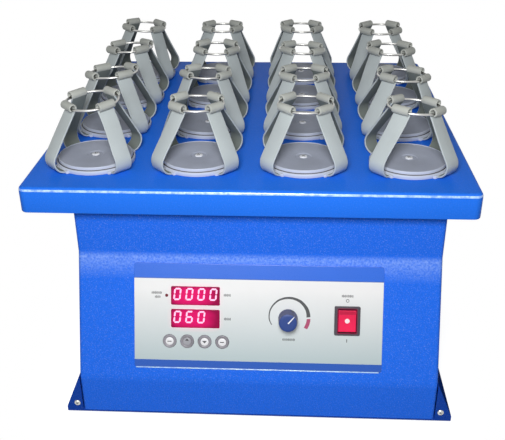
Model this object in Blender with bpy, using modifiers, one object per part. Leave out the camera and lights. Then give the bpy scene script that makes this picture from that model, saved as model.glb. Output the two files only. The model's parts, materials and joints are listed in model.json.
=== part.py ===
"""Orbital flask shaker with a sixteen-clip platform.

Lengths are in metres and +Z is up. The origin lies on the bench, under the middle of the whole
outline. The controls are on the -Y side. The platform is drawn at the left end of its orbit, so
the drive axis stands one throw to the right of the platform's centre.
"""

import math

import bmesh
import bpy
from mathutils import Matrix, Vector

# Fits shared by every piece
GAP = 0.0003
OVERRUN = 0.004

# Platform tray
TRAY_WIDTH = 0.464
TRAY_DEPTH = 0.460
TRAY_SKIRT = 0.0274
TRAY_SHEET = 0.002
TRAY_CORNER_RADIUS = 0.008
TRAY_EDGE_RADIUS = 0.004
ORBIT_RADIUS = 0.010

# Flask clips
CLIP_COLUMNS = 4
CLIP_ROWS = 4
CLIP_PITCH_X = 0.1115
CLIP_PITCH_Y = 0.1044
CLIP_ARMS = 4
CLIP_STRIP = 0.0018
CLIP_ARM_WIDTH = 0.019
CLIP_ARM_ROOT_RADIUS = 0.030
CLIP_ARM_LIFT = 0.0005
CLIP_BELLY_RADIUS = 0.055
CLIP_BEND_RADIUS = 0.013
CLIP_DISC_RADIUS = 0.042
CLIP_DISC_HEIGHT = 0.0045
CLIP_PAD_RADIUS = 0.0395
CLIP_PAD_HEIGHT = 0.0035
CLIP_SCREW_RADIUS = 0.0045
CLIP_SCREW_HEIGHT = 0.002
RING_RADIUS = 0.0284
RING_WIRE_RADIUS = 0.001
RING_HEIGHT = 0.0651
SLEEVE_BORE_RADIUS = 0.0024
SLEEVE_WRAP = math.radians(290)

# Case
CASE_WIDTH = 0.387
CASE_DEPTH = 0.4216
CASE_FRONT_FROM_DRIVE = 0.2106
CASE_SHEET = 0.002
CASE_BEND_RADIUS = 0.004
UPPER_FACE_HEIGHT = 0.0496
CONSOLE_RISE = 0.1285
CONSOLE_REACH = 0.0503
LOWER_FACE_HEIGHT = 0.0449
TRAY_OVER_CASE = 0.0066

# Base pan and feet
PAN_SHEET = 0.002
FLARE_REACH = 0.0183
FLARE_HEIGHT = 0.050
FLARE_LIP = 0.006
FOOT_HEIGHT = 0.005
FOOT_WIDTH = 0.022
FOOT_LENGTH = 0.400
FOOT_INSET = 0.006

# Drive plate and main bearing
PLATE_MARGIN = 0.008
PLATE_THICKNESS = 0.005
HOUSING_FLANGE_RADIUS = 0.045
HOUSING_FLANGE_HEIGHT = 0.006
HOUSING_RADIUS = 0.026
HOUSING_LENGTH = 0.078

# Drive crank
SHAFT_RADIUS = 0.010
SHAFT_HOLE_MARGIN = 0.004
SHAFT_TAIL = 0.006
WEB_THICKNESS = 0.0075
WEB_ABOVE_CASE = 0.0015
WEB_MARGIN = 0.008
PIN_RADIUS = 0.008
PIN_TIP_GAP = 0.003
WEIGHT_RADIUS = 0.085
WEIGHT_THICKNESS = 0.020
WEIGHT_HUB_RADIUS = 0.022
WEIGHT_SPREAD = math.radians(170)
WEIGHT_CLEARANCE = 0.002

# Steadying cranks
IDLER_ANGLES = (math.radians(90), math.radians(210), math.radians(330))
IDLER_INSET = 0.080
IDLER_SHAFT_RADIUS = 0.006
IDLER_SHAFT_LENGTH = 0.024
IDLER_PIN_RADIUS = 0.005
IDLER_PIN_CLEARANCE = 0.0005
IDLER_WEB_MARGIN = 0.005
IDLER_HOLE_MARGIN = 0.0015

# Platform frame
FRAME_BAR_WIDTH = 0.050
FRAME_BAR_HEIGHT = 0.014
FRAME_BOSS_RADIUS = 0.026
FRAME_HUB_RADIUS = 0.034
FRAME_OVER_WEB = 0.002

# Motor and belt
MOTOR_INSET = 0.078
MOTOR_Y = 0.055
MOTOR_RADIUS = 0.040
MOTOR_HEIGHT = 0.085
MOTOR_FLANGE_RADIUS = 0.048
MOTOR_FLANGE_HEIGHT = 0.005
MOTOR_SHAFT_RADIUS = 0.005
MOTOR_PULLEY_RADIUS = 0.015
MOTOR_PULLEY_STANDOFF = 0.008
DRIVEN_PULLEY_RADIUS = 0.048
PULLEY_HEIGHT = 0.014
BELT_HEIGHT = 0.010
BELT_THICKNESS = 0.003

# Control panel, in the plane of the sloping console
PANEL_WIDTH = 0.265
PANEL_HEIGHT = 0.1134
PANEL_THICKNESS = 0.0012
PANEL_RISE = 0.0021
PANEL_CORNER_RADIUS = 0.002
DISPLAY_X = -0.0668
DISPLAY_UPPER_Y = 0.0242
DISPLAY_PITCH = 0.0248
DISPLAY_WIDTH = 0.0522
DISPLAY_HEIGHT = 0.0202
DISPLAY_PROUD = 0.0006
DISPLAY_BOARD_MARGIN = 0.003
DISPLAY_BOARD_THICKNESS = 0.006
KEY_COUNT = 4
KEY_FIRST_X = -0.0944
KEY_PITCH = 0.01885
KEY_Y = -0.0256
KEY_RADIUS = 0.0072
KEY_PROUD = 0.0012
KEY_STEM = 0.006
KNOB_X = 0.0322
KNOB_Y = 0.0017
KNOB_RADIUS = 0.0103
KNOB_TOP_RADIUS = 0.0092
KNOB_HEIGHT = 0.020
KNOB_SHAFT_RADIUS = 0.003
KNOB_SHAFT_LENGTH = 0.012
KNOB_POINTER_WIDTH = 0.0016
KNOB_POINTER_RISE = 0.0005
KNOB_POINTER_TURN = math.radians(-40)
SWITCH_X = 0.0949
SWITCH_Y = 0.0007
SWITCH_WIDTH = 0.0273
SWITCH_HEIGHT = 0.0315
SWITCH_BEZEL = 0.0018
SWITCH_BODY_DEPTH = 0.020
SWITCH_BODY_MARGIN = 0.0018
ROCKER_WIDTH = 0.0189
ROCKER_HEIGHT = 0.0242
ROCKER_DEPTH = 0.006
ROCKER_CROWN = 0.0026
ROCKER_END_GAP = 0.0008
ROCKER_SIDE_GAP = 0.0004
ROCKER_PIVOT_DEPTH = 0.003
ROCKER_TILT = math.radians(7)

# Power inlet on the rear panel
INLET_INSET = 0.080
INLET_HEIGHT_ON_PANEL = 0.045
INLET_FLANGE_WIDTH = 0.050
INLET_FLANGE_HEIGHT = 0.030
INLET_FLANGE_THICKNESS = 0.003
INLET_BODY_WIDTH = 0.038
INLET_BODY_HEIGHT = 0.026
INLET_BODY_DEPTH = 0.024
INLET_SOCKET_WIDTH = 0.0245
INLET_SOCKET_HEIGHT = 0.0175
INLET_SOCKET_DEPTH = 0.017
INLET_PIN_WIDTH = 0.002
INLET_PIN_HEIGHT = 0.004
INLET_PIN_LENGTH = 0.012
INLET_PIN_SPREAD = 0.007
INLET_EARTH_RISE = 0.004

# Facets
ROUND_SEGMENTS = 24
SMALL_SEGMENTS = 16
RING_SEGMENTS = 16
RING_SIDES = 4
BEND_STEPS = 3
SLEEVE_STEPS = 5
BELT_STEPS = 12

# Heights that follow from the sizes above
pan_top = FOOT_HEIGHT + PAN_SHEET
case_bottom = pan_top + GAP
console_foot = case_bottom + LOWER_FACE_HEIGHT
console_head = console_foot + CONSOLE_RISE
case_top = console_head + UPPER_FACE_HEIGHT
tray_top = case_top + TRAY_OVER_CASE + TRAY_SKIRT
clip_seat = tray_top + GAP

# Places that follow: X of the drive, Y of the drive and of the platform's centre
case_x = ORBIT_RADIUS
front_reach = CASE_FRONT_FROM_DRIVE + CONSOLE_REACH
drive_y = (front_reach - TRAY_DEPTH / 2) / 2
upper_front_y = drive_y - CASE_FRONT_FROM_DRIVE
lower_front_y = upper_front_y - CONSOLE_REACH
case_back_y = upper_front_y + CASE_DEPTH

# Heights inside the case
plate_top = case_top - CASE_SHEET - GAP
plate_bottom = plate_top - PLATE_THICKNESS
housing_top = plate_bottom - GAP
housing_bottom = housing_top - HOUSING_LENGTH
weight_top = housing_bottom - WEIGHT_CLEARANCE
weight_bottom = weight_top - WEIGHT_THICKNESS
motor_bottom = pan_top + GAP
motor_top = motor_bottom + MOTOR_HEIGHT
pulley_bottom = motor_top + MOTOR_PULLEY_STANDOFF
pulley_top = pulley_bottom + PULLEY_HEIGHT
web_bottom = case_top + WEB_ABOVE_CASE
web_top = web_bottom + WEB_THICKNESS
frame_top = tray_top - TRAY_SHEET - GAP
frame_boss_bottom = web_top + FRAME_OVER_WEB
pin_top = frame_top - PIN_TIP_GAP
idler_bottom = plate_bottom - IDLER_SHAFT_LENGTH

# The round ring lies evenly about each straight sleeve's centre line
sleeve_radius = (RING_RADIUS + math.sqrt(RING_RADIUS**2 - (CLIP_ARM_WIDTH / 2) ** 2)) / 2

console_slope = math.atan2(CONSOLE_REACH, CONSOLE_RISE)
panel_face = GAP + PANEL_THICKNESS

for old in list(bpy.data.objects):
    bpy.data.objects.remove(old)

parts = bpy.data.collections.new("flask_shaker")
cutters = bpy.data.collections.new("flask_shaker_cutters")
for group in (parts, cutters):
    bpy.context.scene.collection.children.link(group)
cutters.hide_render = True


def finish(name, colour, roughness, metallic=0.0):
    """A Principled material."""
    made = bpy.data.materials.new(name)
    made.use_nodes = True
    shader = made.node_tree.nodes["Principled BSDF"]
    shader.inputs["Base Color"].default_value = (*colour, 1.0)
    shader.inputs["Roughness"].default_value = roughness
    shader.inputs["Metallic"].default_value = metallic
    return made


case_blue = finish("case_blue", (0.012, 0.115, 0.62), 0.35)
tray_blue = finish("tray_blue", (0.02, 0.17, 0.80), 0.32)
pan_blue = finish("pan_blue", (0.008, 0.075, 0.48), 0.4)
clip_grey = finish("clip_grey", (0.52, 0.54, 0.53), 0.5)
bright_wire = finish("bright_wire", (0.75, 0.75, 0.76), 0.22, 1.0)
turned_steel = finish("turned_steel", (0.55, 0.55, 0.56), 0.35, 1.0)
plate_steel = finish("plate_steel", (0.45, 0.45, 0.46), 0.5, 1.0)
cast_metal = finish("cast_metal", (0.42, 0.43, 0.44), 0.55, 1.0)
cast_iron = finish("cast_iron", (0.09, 0.09, 0.10), 0.7, 0.4)
panel_grey = finish("panel_grey", (0.62, 0.64, 0.67), 0.4)
display_red = finish("display_red", (0.55, 0.02, 0.05), 0.15)
key_silver = finish("key_silver", (0.55, 0.56, 0.58), 0.35)
knob_slate = finish("knob_slate", (0.13, 0.18, 0.27), 0.45)
switch_black = finish("switch_black", (0.02, 0.02, 0.022), 0.4)
rocker_red = finish("rocker_red", (0.62, 0.03, 0.03), 0.3)
rubber_black = finish("rubber_black", (0.018, 0.018, 0.018), 0.8)
belt_black = finish("belt_black", (0.02, 0.02, 0.02), 0.7)


def weld(mesh):
    """Points that coincide made one, with the faces turned outward."""
    work = bmesh.new()
    work.from_mesh(mesh)
    bmesh.ops.remove_doubles(work, verts=work.verts, dist=GAP / 100)
    bmesh.ops.recalc_face_normals(work, faces=work.faces)
    work.to_mesh(mesh)
    work.free()
    return mesh


def baked(obj):
    """The object's mesh as its modifiers or its curve make it. The object goes."""
    bpy.context.view_layer.update()
    graph = bpy.context.evaluated_depsgraph_get()
    mesh = bpy.data.meshes.new_from_object(obj.evaluated_get(graph))
    bpy.data.objects.remove(obj)
    return weld(mesh)


def moved(mesh, place):
    """The same mesh carried by a matrix."""
    mesh.transform(place)
    return mesh


def box(size, centre=(0.0, 0.0, 0.0)):
    """A block of the given size about its centre."""
    work = bmesh.new()
    place = Matrix.Translation(centre) @ Matrix.Diagonal((*size, 1.0))
    bmesh.ops.create_cube(work, size=1.0, matrix=place)
    mesh = bpy.data.meshes.new("box")
    work.to_mesh(mesh)
    work.free()
    return mesh


def block(low, high):
    """A block between two corners."""
    low, high = Vector(low), Vector(high)
    return box(high - low, (low + high) / 2)


def rod(radius, bottom, top, centre=(0.0, 0.0), segments=ROUND_SEGMENTS, top_radius=None):
    """An upright cylinder, or a cone where its top radius differs."""
    work = bmesh.new()
    middle = Matrix.Translation((*centre, (bottom + top) / 2))
    bmesh.ops.create_cone(
        work,
        cap_ends=True,
        segments=segments,
        radius1=radius,
        radius2=radius if top_radius is None else top_radius,
        depth=top - bottom,
        matrix=middle,
    )
    mesh = bpy.data.meshes.new("rod")
    work.to_mesh(mesh)
    work.free()
    return mesh


def plate(outlines, thickness):
    """A flat plate centred on z = 0. The first outline is its edge, and any other is a hole."""
    curve = bpy.data.curves.new("plate", "CURVE")
    curve.dimensions = "2D"
    curve.fill_mode = "BOTH"
    curve.extrude = thickness / 2
    for outline in outlines:
        spline = curve.splines.new("POLY")
        spline.points.add(len(outline) - 1)
        for point, (x, y) in zip(spline.points, outline):
            point.co = (x, y, 0.0, 1.0)
        spline.use_cyclic_u = True
    holder = bpy.data.objects.new("plate", curve)
    cutters.objects.link(holder)
    return baked(holder)


def turned(profile, segments):
    """A solid of revolution about Z, from (radius, height) points that run from top to bottom."""
    mesh = bpy.data.meshes.new("turned")
    points = [(radius, 0.0, height) for radius, height in profile]
    mesh.from_pydata(points, [(i, i + 1) for i in range(len(points) - 1)], [])
    holder = bpy.data.objects.new("turned", mesh)
    cutters.objects.link(holder)
    screw = holder.modifiers.new("turn", "SCREW")
    screw.steps = segments
    screw.render_steps = segments
    screw.use_merge_vertices = True
    screw.merge_threshold = GAP / 10
    return baked(holder)


def upright(mesh):
    """Stands a flat plate up: its y becomes z, and its thickness lies along Y."""
    return moved(mesh, Matrix.Rotation(math.radians(90), 4, "X"))


def rounded_box_edges(mesh, radius, segments, wanted):
    """Rounds the edges that the test picks from their two end points."""
    work = bmesh.new()
    work.from_mesh(mesh)
    edges = [edge for edge in work.edges if wanted(*(end.co for end in edge.verts))]
    bmesh.ops.bevel(work, geom=edges, offset=radius, segments=segments, profile=0.5, affect="EDGES")
    work.to_mesh(mesh)
    work.free()
    return mesh


def tool(mesh, parent):
    """A helper for a Boolean, kept out of the render."""
    obj = bpy.data.objects.new("tool", mesh)
    cutters.objects.link(obj)
    obj.parent = parent
    obj.hide_render = True
    obj.display_type = "WIRE"
    return obj


def combine(obj, shapes, operation):
    for mesh in shapes:
        step = obj.modifiers.new(operation.lower(), "BOOLEAN")
        step.operation = operation
        step.solver = "EXACT"
        step.object = tool(mesh, obj)


def part(name, mesh, look, parent, at=(0.0, 0.0, 0.0), joined=(), cut=(), smooth=False):
    """One named piece. Its mesh, joined shapes and cuts are all in the piece's own coordinates."""
    mesh.name = name
    obj = bpy.data.objects.new(name, mesh)
    parts.objects.link(obj)
    obj.parent = parent
    obj.location = at
    mesh.materials.clear()
    mesh.materials.append(look)
    combine(obj, joined, "UNION")
    combine(obj, cut, "DIFFERENCE")
    if smooth:
        mesh.shade_smooth()
        mesh.set_sharp_from_angle(angle=math.radians(35))
    return obj


def axis(name, at, tilt=0.0, parent=None):
    """An empty that carries what turns or sits about it."""
    holder = bpy.data.objects.new(name, None)
    holder.location = at
    holder.rotation_euler = (tilt, 0.0, 0.0)
    holder.parent = parent
    parts.objects.link(holder)
    return holder


def arc(centre, radius, start, end, steps):
    """Points of an arc, both ends included."""
    turns = [start + (end - start) * i / steps for i in range(steps + 1)]
    return [(centre[0] + radius * math.cos(t), centre[1] + radius * math.sin(t)) for t in turns]


def circle(radius, centre, steps):
    return arc(centre, radius, 0.0, math.tau, steps)[:-1]


def stadium(first, second, first_radius, second_radius, steps):
    """The tight outline round two circles, with its flats touching the circles from outside."""
    span = Vector(second) - Vector(first)
    heading = math.atan2(span.y, span.x)
    lean = math.acos((first_radius - second_radius) / span.length)
    far_radius = second_radius / math.cos(lean / steps)
    near_radius = first_radius / math.cos((math.pi - lean) / steps)
    far = arc(second, far_radius, heading - lean, heading + lean, steps)
    near = arc(first, near_radius, heading + lean, heading + math.tau - lean, steps)
    return far + near


drive_axis = axis("drive_axis", (case_x, drive_y, 0.0))
platform_axis = axis("platform_axis", (0.0, drive_y, 0.0))
case_axis = axis("case_axis", (case_x, drive_y, 0.0))
console_centre = (case_x, (upper_front_y + lower_front_y) / 2, (console_foot + console_head) / 2)
console = axis("console", console_centre, math.pi / 2 - console_slope)

# The same faces measured from the drive axis, and what is set out from them
front_y = lower_front_y - drive_y
upper_y = upper_front_y - drive_y
back_y = case_back_y - drive_y
motor_x = CASE_WIDTH / 2 - MOTOR_INSET
inlet_x = INLET_INSET - CASE_WIDTH / 2
idler_reach = TRAY_DEPTH / 2 - IDLER_INSET
idler_places = [(idler_reach * math.cos(turn), idler_reach * math.sin(turn)) for turn in IDLER_ANGLES]


def panel_openings(depth):
    """What the case and the panel both let through, as cutters in the console's own plane."""
    middle = (panel_face - depth) / 2
    tall = depth + panel_face + 2 * OVERRUN
    shapes = []
    for row in range(2):
        place = (DISPLAY_X, DISPLAY_UPPER_Y - row * DISPLAY_PITCH, middle)
        shapes.append(box((DISPLAY_WIDTH + 2 * GAP, DISPLAY_HEIGHT + 2 * GAP, tall), place))
    for index in range(KEY_COUNT):
        place = (KEY_FIRST_X + index * KEY_PITCH, KEY_Y)
        shapes.append(rod(KEY_RADIUS + GAP, middle - tall / 2, middle + tall / 2, place, SMALL_SEGMENTS))
    shaft = (KNOB_X, KNOB_Y)
    shapes.append(rod(KNOB_SHAFT_RADIUS + GAP, middle - tall / 2, middle + tall / 2, shaft, SMALL_SEGMENTS))
    trim = 2 * (SWITCH_BODY_MARGIN - GAP)
    body = (SWITCH_WIDTH - trim, SWITCH_HEIGHT - trim, tall)
    shapes.append(box(body, (SWITCH_X, SWITCH_Y, middle)))
    return shapes


def case_shell():
    """The folded cover: front, console, sides and top, open below and behind."""
    outline = [
        (front_y, case_bottom),
        (front_y, console_foot),
        (upper_y, console_head),
        (upper_y, case_top),
        (back_y, case_top),
        (back_y, case_bottom),
    ]
    prism = upright(plate([outline], CASE_WIDTH))
    moved(prism, Matrix.Rotation(math.radians(90), 4, "Z"))
    work = bmesh.new()
    work.from_mesh(prism)
    near = GAP / 10
    open_faces = [
        face
        for face in work.faces
        if all(abs(v.co.z - case_bottom) < near for v in face.verts)
        or all(abs(v.co.y - back_y) < near for v in face.verts)
    ]
    bmesh.ops.delete(work, geom=open_faces, context="FACES")
    bmesh.ops.dissolve_limit(work, angle_limit=math.radians(1), verts=work.verts, edges=work.edges)
    folds = [edge for edge in work.edges if len(edge.link_faces) == 2]
    bmesh.ops.bevel(work, geom=folds, offset=CASE_BEND_RADIUS, segments=2, profile=0.5, affect="EDGES")
    work.to_mesh(prism)
    work.free()
    shell = part("case_shell", prism, case_blue, case_axis, smooth=True)
    sheet = shell.modifiers.new("sheet", "SOLIDIFY")
    sheet.thickness = CASE_SHEET
    sheet.offset = -1.0
    sheet.use_even_offset = True
    holes = [rod(SHAFT_RADIUS + SHAFT_HOLE_MARGIN, plate_top, web_bottom)]
    small = IDLER_SHAFT_RADIUS + IDLER_HOLE_MARGIN
    for place in idler_places:
        holes.append(rod(small, plate_top, web_bottom, place, SMALL_SEGMENTS))
    combine(shell, holes, "DIFFERENCE")
    to_case = case_axis.matrix_basis.inverted() @ console.matrix_basis
    combine(shell, [moved(mesh, to_case) for mesh in panel_openings(CASE_SHEET)], "DIFFERENCE")


def rear_panel():
    """The flat back, let into the cover."""
    half = CASE_WIDTH / 2 - CASE_SHEET - GAP
    low = (-half, back_y - CASE_SHEET, case_bottom)
    high = (half, back_y, case_top - CASE_SHEET - GAP)
    sheet = block(low, high)
    rounded_box_edges(
        sheet,
        CASE_BEND_RADIUS,
        2,
        lambda a, b: a.z > console_head and b.z > console_head and abs(a.y - b.y) > CASE_SHEET / 2,
    )
    size = (INLET_BODY_WIDTH + 2 * GAP, CASE_SHEET + 2 * OVERRUN, INLET_BODY_HEIGHT + 2 * GAP)
    window = box(size, (inlet_x, back_y - CASE_SHEET / 2, case_bottom + INLET_HEIGHT_ON_PANEL))
    part("rear_panel", sheet, case_blue, case_axis, cut=[window])


def base_pan():
    """The floor of the case, whose sides rise from a short upright lip and lean in against the cover."""
    half = CASE_WIDTH / 2
    foot = half + FLARE_REACH
    lean = FLARE_REACH / (FLARE_HEIGHT - FLARE_LIP)
    shoulder = FOOT_HEIGHT + FLARE_LIP
    top = FOOT_HEIGHT + FLARE_HEIGHT
    depth = back_y - front_y
    middle = Matrix.Translation((0.0, (back_y + front_y) / 2, 0.0))
    right = [(foot, FOOT_HEIGHT), (foot, shoulder), (half, top)]
    outline = right + [(-x, z) for x, z in reversed(right)]
    outer = upright(plate([outline], depth))
    above = top + OVERRUN
    slant = PAN_SHEET * math.hypot(1.0, lean)
    wide = foot - PAN_SHEET
    knee = shoulder - (slant - PAN_SHEET) / lean
    narrow = foot - slant - (above - shoulder) * lean
    right = [(wide, pan_top), (wide, knee), (narrow, above)]
    hollow = right + [(-x, z) for x, z in reversed(right)]
    inner = upright(plate([hollow], depth - 2 * PAN_SHEET))
    seat = half + GAP
    throat = block((-seat, -depth, pan_top), (seat, depth, above))
    part("base_pan", moved(outer, middle), pan_blue, case_axis, cut=[moved(inner, middle), throat])


def rubber_foot(name, side):
    centre = side * (CASE_WIDTH / 2 + FLARE_REACH - FOOT_INSET - FOOT_WIDTH / 2)
    middle = (front_y + back_y) / 2
    low = (centre - FOOT_WIDTH / 2, middle - FOOT_LENGTH / 2, 0.0)
    high = (centre + FOOT_WIDTH / 2, middle + FOOT_LENGTH / 2, FOOT_HEIGHT - GAP)
    part(name, block(low, high), rubber_black, case_axis)


def platform_tray():
    """The shaking platform: one sheet turned down all round."""
    half_x = TRAY_WIDTH / 2
    half_y = TRAY_DEPTH / 2
    lip = tray_top - TRAY_SKIRT
    sheet = block((-half_x, -half_y, lip), (half_x, half_y, tray_top))
    work = bmesh.new()
    work.from_mesh(sheet)
    floor = [face for face in work.faces if face.normal.z < -0.5]
    bmesh.ops.delete(work, geom=floor, context="FACES")
    corners = [edge for edge in work.edges if abs(edge.verts[0].co.z - edge.verts[1].co.z) > TRAY_SKIRT / 2]
    bmesh.ops.bevel(work, geom=corners, offset=TRAY_CORNER_RADIUS, segments=3, profile=0.5, affect="EDGES")
    rim = [edge for edge in work.edges if all(v.co.z > lip + TRAY_SKIRT / 2 for v in edge.verts)]
    rim = [edge for edge in rim if len(edge.link_faces) == 2]
    bmesh.ops.bevel(work, geom=rim, offset=TRAY_EDGE_RADIUS, segments=2, profile=0.5, affect="EDGES")
    work.to_mesh(sheet)
    work.free()
    tray = part("platform_tray", sheet, tray_blue, platform_axis, smooth=True)
    wall = tray.modifiers.new("sheet", "SOLIDIFY")
    wall.thickness = TRAY_SHEET
    wall.offset = -1.0
    wall.use_even_offset = True


def platform_frame():
    """Three arms under the tray, with pockets for the crank pins."""
    hub = rod(FRAME_HUB_RADIUS, frame_boss_bottom, frame_top)
    half = FRAME_BAR_WIDTH / 2
    joined = []
    reach = (frame_boss_bottom - OVERRUN, pin_top + PIN_TIP_GAP / 2)
    pockets = [rod(PIN_RADIUS + GAP, *reach)]
    for turn, place in zip(IDLER_ANGLES, idler_places):
        bar = block((0.0, -half, frame_top - FRAME_BAR_HEIGHT), (idler_reach, half, frame_top))
        joined.append(moved(bar, Matrix.Rotation(turn, 4, "Z")))
        joined.append(rod(FRAME_BOSS_RADIUS, frame_boss_bottom, frame_top, place))
        hole = IDLER_PIN_RADIUS + IDLER_PIN_CLEARANCE
        pockets.append(rod(hole, *reach, place, SMALL_SEGMENTS))
    part("platform_frame", hub, cast_metal, platform_axis, joined=joined, cut=pockets)


def clip_arm():
    """One strip that leaves the disc flat, turns up, leans in and rolls outward over the ring."""
    half = CLIP_STRIP / 2
    bend = (CLIP_BELLY_RADIUS - CLIP_BEND_RADIUS, CLIP_ARM_LIFT + CLIP_BEND_RADIUS + half)
    sleeve = (sleeve_radius, RING_HEIGHT)
    roll = SLEEVE_BORE_RADIUS + half
    inward = math.atan2(bend[0] - sleeve[0], sleeve[1] - bend[1])
    apart = math.hypot(bend[0] - sleeve[0], sleeve[1] - bend[1])
    lean = inward + math.asin((CLIP_BEND_RADIUS - half + roll) / apart)
    start = lean + math.pi
    edges = []
    for side in (half, -half):
        root = (CLIP_ARM_ROOT_RADIUS, CLIP_ARM_LIFT + half - side)
        turn_up = arc(bend, CLIP_BEND_RADIUS - half + side, -math.pi / 2, lean, BEND_STEPS)
        over_ring = arc(sleeve, roll - side, start, start - SLEEVE_WRAP, SLEEVE_STEPS)
        edges.append([root] + turn_up + over_ring)
    outer, inner = edges
    return upright(plate([outer + inner[::-1]], CLIP_ARM_WIDTH))


def clip_mesh():
    """Disc, pad and screw head turned as one, with the four arms joined on."""
    disc_top = CLIP_DISC_HEIGHT
    pad_top = disc_top + CLIP_PAD_HEIGHT
    screw_top = pad_top + CLIP_SCREW_HEIGHT
    profile = [
        (0.0, screw_top),
        (CLIP_SCREW_RADIUS, screw_top),
        (CLIP_SCREW_RADIUS, pad_top),
        (CLIP_PAD_RADIUS, pad_top),
        (CLIP_DISC_RADIUS, disc_top),
        (CLIP_DISC_RADIUS, 0.0),
        (0.0, 0.0),
    ]
    body = bpy.data.objects.new("clip", turned(profile, SMALL_SEGMENTS))
    cutters.objects.link(body)
    arms = []
    for index in range(CLIP_ARMS):
        turn = math.tau * (index + 0.5) / CLIP_ARMS
        arms.append(moved(clip_arm(), Matrix.Rotation(turn, 4, "Z")))
    combine(body, arms, "UNION")
    helpers = [step.object for step in body.modifiers]
    mesh = baked(body)
    for helper in helpers:
        bpy.data.objects.remove(helper)
    return mesh


def ring_mesh():
    bpy.ops.mesh.primitive_torus_add(
        major_segments=RING_SEGMENTS,
        minor_segments=RING_SIDES,
        major_radius=RING_RADIUS / math.cos(math.pi / RING_SEGMENTS),
        minor_radius=RING_WIRE_RADIUS,
        rotation=(0.0, 0.0, math.pi / RING_SEGMENTS),
    )
    made = bpy.context.object
    mesh = made.data
    mesh.transform(made.matrix_world)
    bpy.data.objects.remove(made)
    return mesh


def clips():
    """The grid of clips, counted from the front left, each with its wire ring."""
    shape = clip_mesh()
    wire = ring_mesh()
    number = 0
    for row in range(CLIP_ROWS):
        for column in range(CLIP_COLUMNS):
            number += 1
            x = (column - (CLIP_COLUMNS - 1) / 2) * CLIP_PITCH_X
            y = (row - (CLIP_ROWS - 1) / 2) * CLIP_PITCH_Y
            part(f"clip_{number:02d}", shape, clip_grey, platform_axis, (x, y, clip_seat), smooth=True)
            ring_place = (x, y, clip_seat + RING_HEIGHT)
            part(f"clip_ring_{number:02d}", wire, bright_wire, platform_axis, ring_place, smooth=True)


def drive_plate():
    """The steel plate under the cover's top that carries the bearings."""
    inset = CASE_SHEET + PLATE_MARGIN
    half_x = CASE_WIDTH / 2 - inset
    slab = block((-half_x, upper_y + inset, plate_bottom), (half_x, back_y - inset, plate_top))
    reach = (plate_bottom - OVERRUN, plate_top + OVERRUN)
    holes = [rod(SHAFT_RADIUS + GAP, *reach)]
    for place in idler_places:
        holes.append(rod(IDLER_SHAFT_RADIUS + GAP, *reach, place, SMALL_SEGMENTS))
    part("drive_plate", slab, plate_steel, case_axis, cut=holes)


def bearing_housing():
    profile = [
        (SHAFT_RADIUS + GAP, housing_top),
        (HOUSING_FLANGE_RADIUS, housing_top),
        (HOUSING_FLANGE_RADIUS, housing_top - HOUSING_FLANGE_HEIGHT),
        (HOUSING_RADIUS, housing_top - HOUSING_FLANGE_HEIGHT),
        (HOUSING_RADIUS, housing_bottom),
        (SHAFT_RADIUS + GAP, housing_bottom),
        (SHAFT_RADIUS + GAP, housing_top),
    ]
    part("bearing_housing", turned(profile, ROUND_SEGMENTS), cast_metal, case_axis, smooth=True)


def crank(name, at, shaft_radius, shaft_bottom, pin_radius, margin, segments):
    """A shaft, a web and a pin one throw to the left of the shaft."""
    shaft = rod(shaft_radius, shaft_bottom, web_bottom + WEB_THICKNESS / 2, segments=segments)
    ends = ((0.0, 0.0), (-ORBIT_RADIUS, 0.0))
    outline = stadium(*ends, shaft_radius + margin, pin_radius + margin, segments // 2)
    middle = Matrix.Translation((0.0, 0.0, (web_bottom + web_top) / 2))
    web = moved(plate([outline], WEB_THICKNESS), middle)
    pin = rod(pin_radius, web_bottom + WEB_THICKNESS / 2, pin_top, ends[1], segments)
    part(name, shaft, turned_steel, drive_axis, at, joined=[web, pin], smooth=True)


def cranks():
    """The driven crank in the middle, and three that only keep the platform's heading."""
    tail = pulley_bottom - SHAFT_TAIL
    middle = (0.0, 0.0, 0.0)
    crank("eccentric_shaft", middle, SHAFT_RADIUS, tail, PIN_RADIUS, WEB_MARGIN, ROUND_SEGMENTS)
    small = (IDLER_SHAFT_RADIUS, idler_bottom, IDLER_PIN_RADIUS, IDLER_WEB_MARGIN, SMALL_SEGMENTS)
    for number, place in enumerate(idler_places, 1):
        crank(f"idler_crank_{number}", (*place, 0.0), *small)


def counterweight():
    """A thick sector on the side away from the pin."""
    middle = Matrix.Translation((0.0, 0.0, (weight_bottom + weight_top) / 2))
    half = WEIGHT_SPREAD / 2
    hub = WEIGHT_HUB_RADIUS
    sector = arc((0.0, 0.0), WEIGHT_RADIUS, -half, half, ROUND_SEGMENTS // 2)
    back = arc((0.0, 0.0), hub, half, math.tau - half, ROUND_SEGMENTS // 2)
    bore = circle(SHAFT_RADIUS + GAP, (0.0, 0.0), ROUND_SEGMENTS)
    weight = moved(plate([sector + back, bore], WEIGHT_THICKNESS), middle)
    part("counterweight", weight, cast_iron, drive_axis)


def pulley(name, at, radius, bore, parent):
    """A flat-faced pulley with a low flange under and over the belt."""
    lip = (PULLEY_HEIGHT - BELT_HEIGHT) / 2 - GAP
    crest = radius + BELT_THICKNESS / 2
    profile = [
        (bore, pulley_top),
        (crest, pulley_top),
        (crest, pulley_top - lip),
        (radius, pulley_top - lip),
        (radius, pulley_bottom + lip),
        (crest, pulley_bottom + lip),
        (crest, pulley_bottom),
        (bore, pulley_bottom),
        (bore, pulley_top),
    ]
    part(name, turned(profile, ROUND_SEGMENTS), turned_steel, parent, at, smooth=True)


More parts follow.
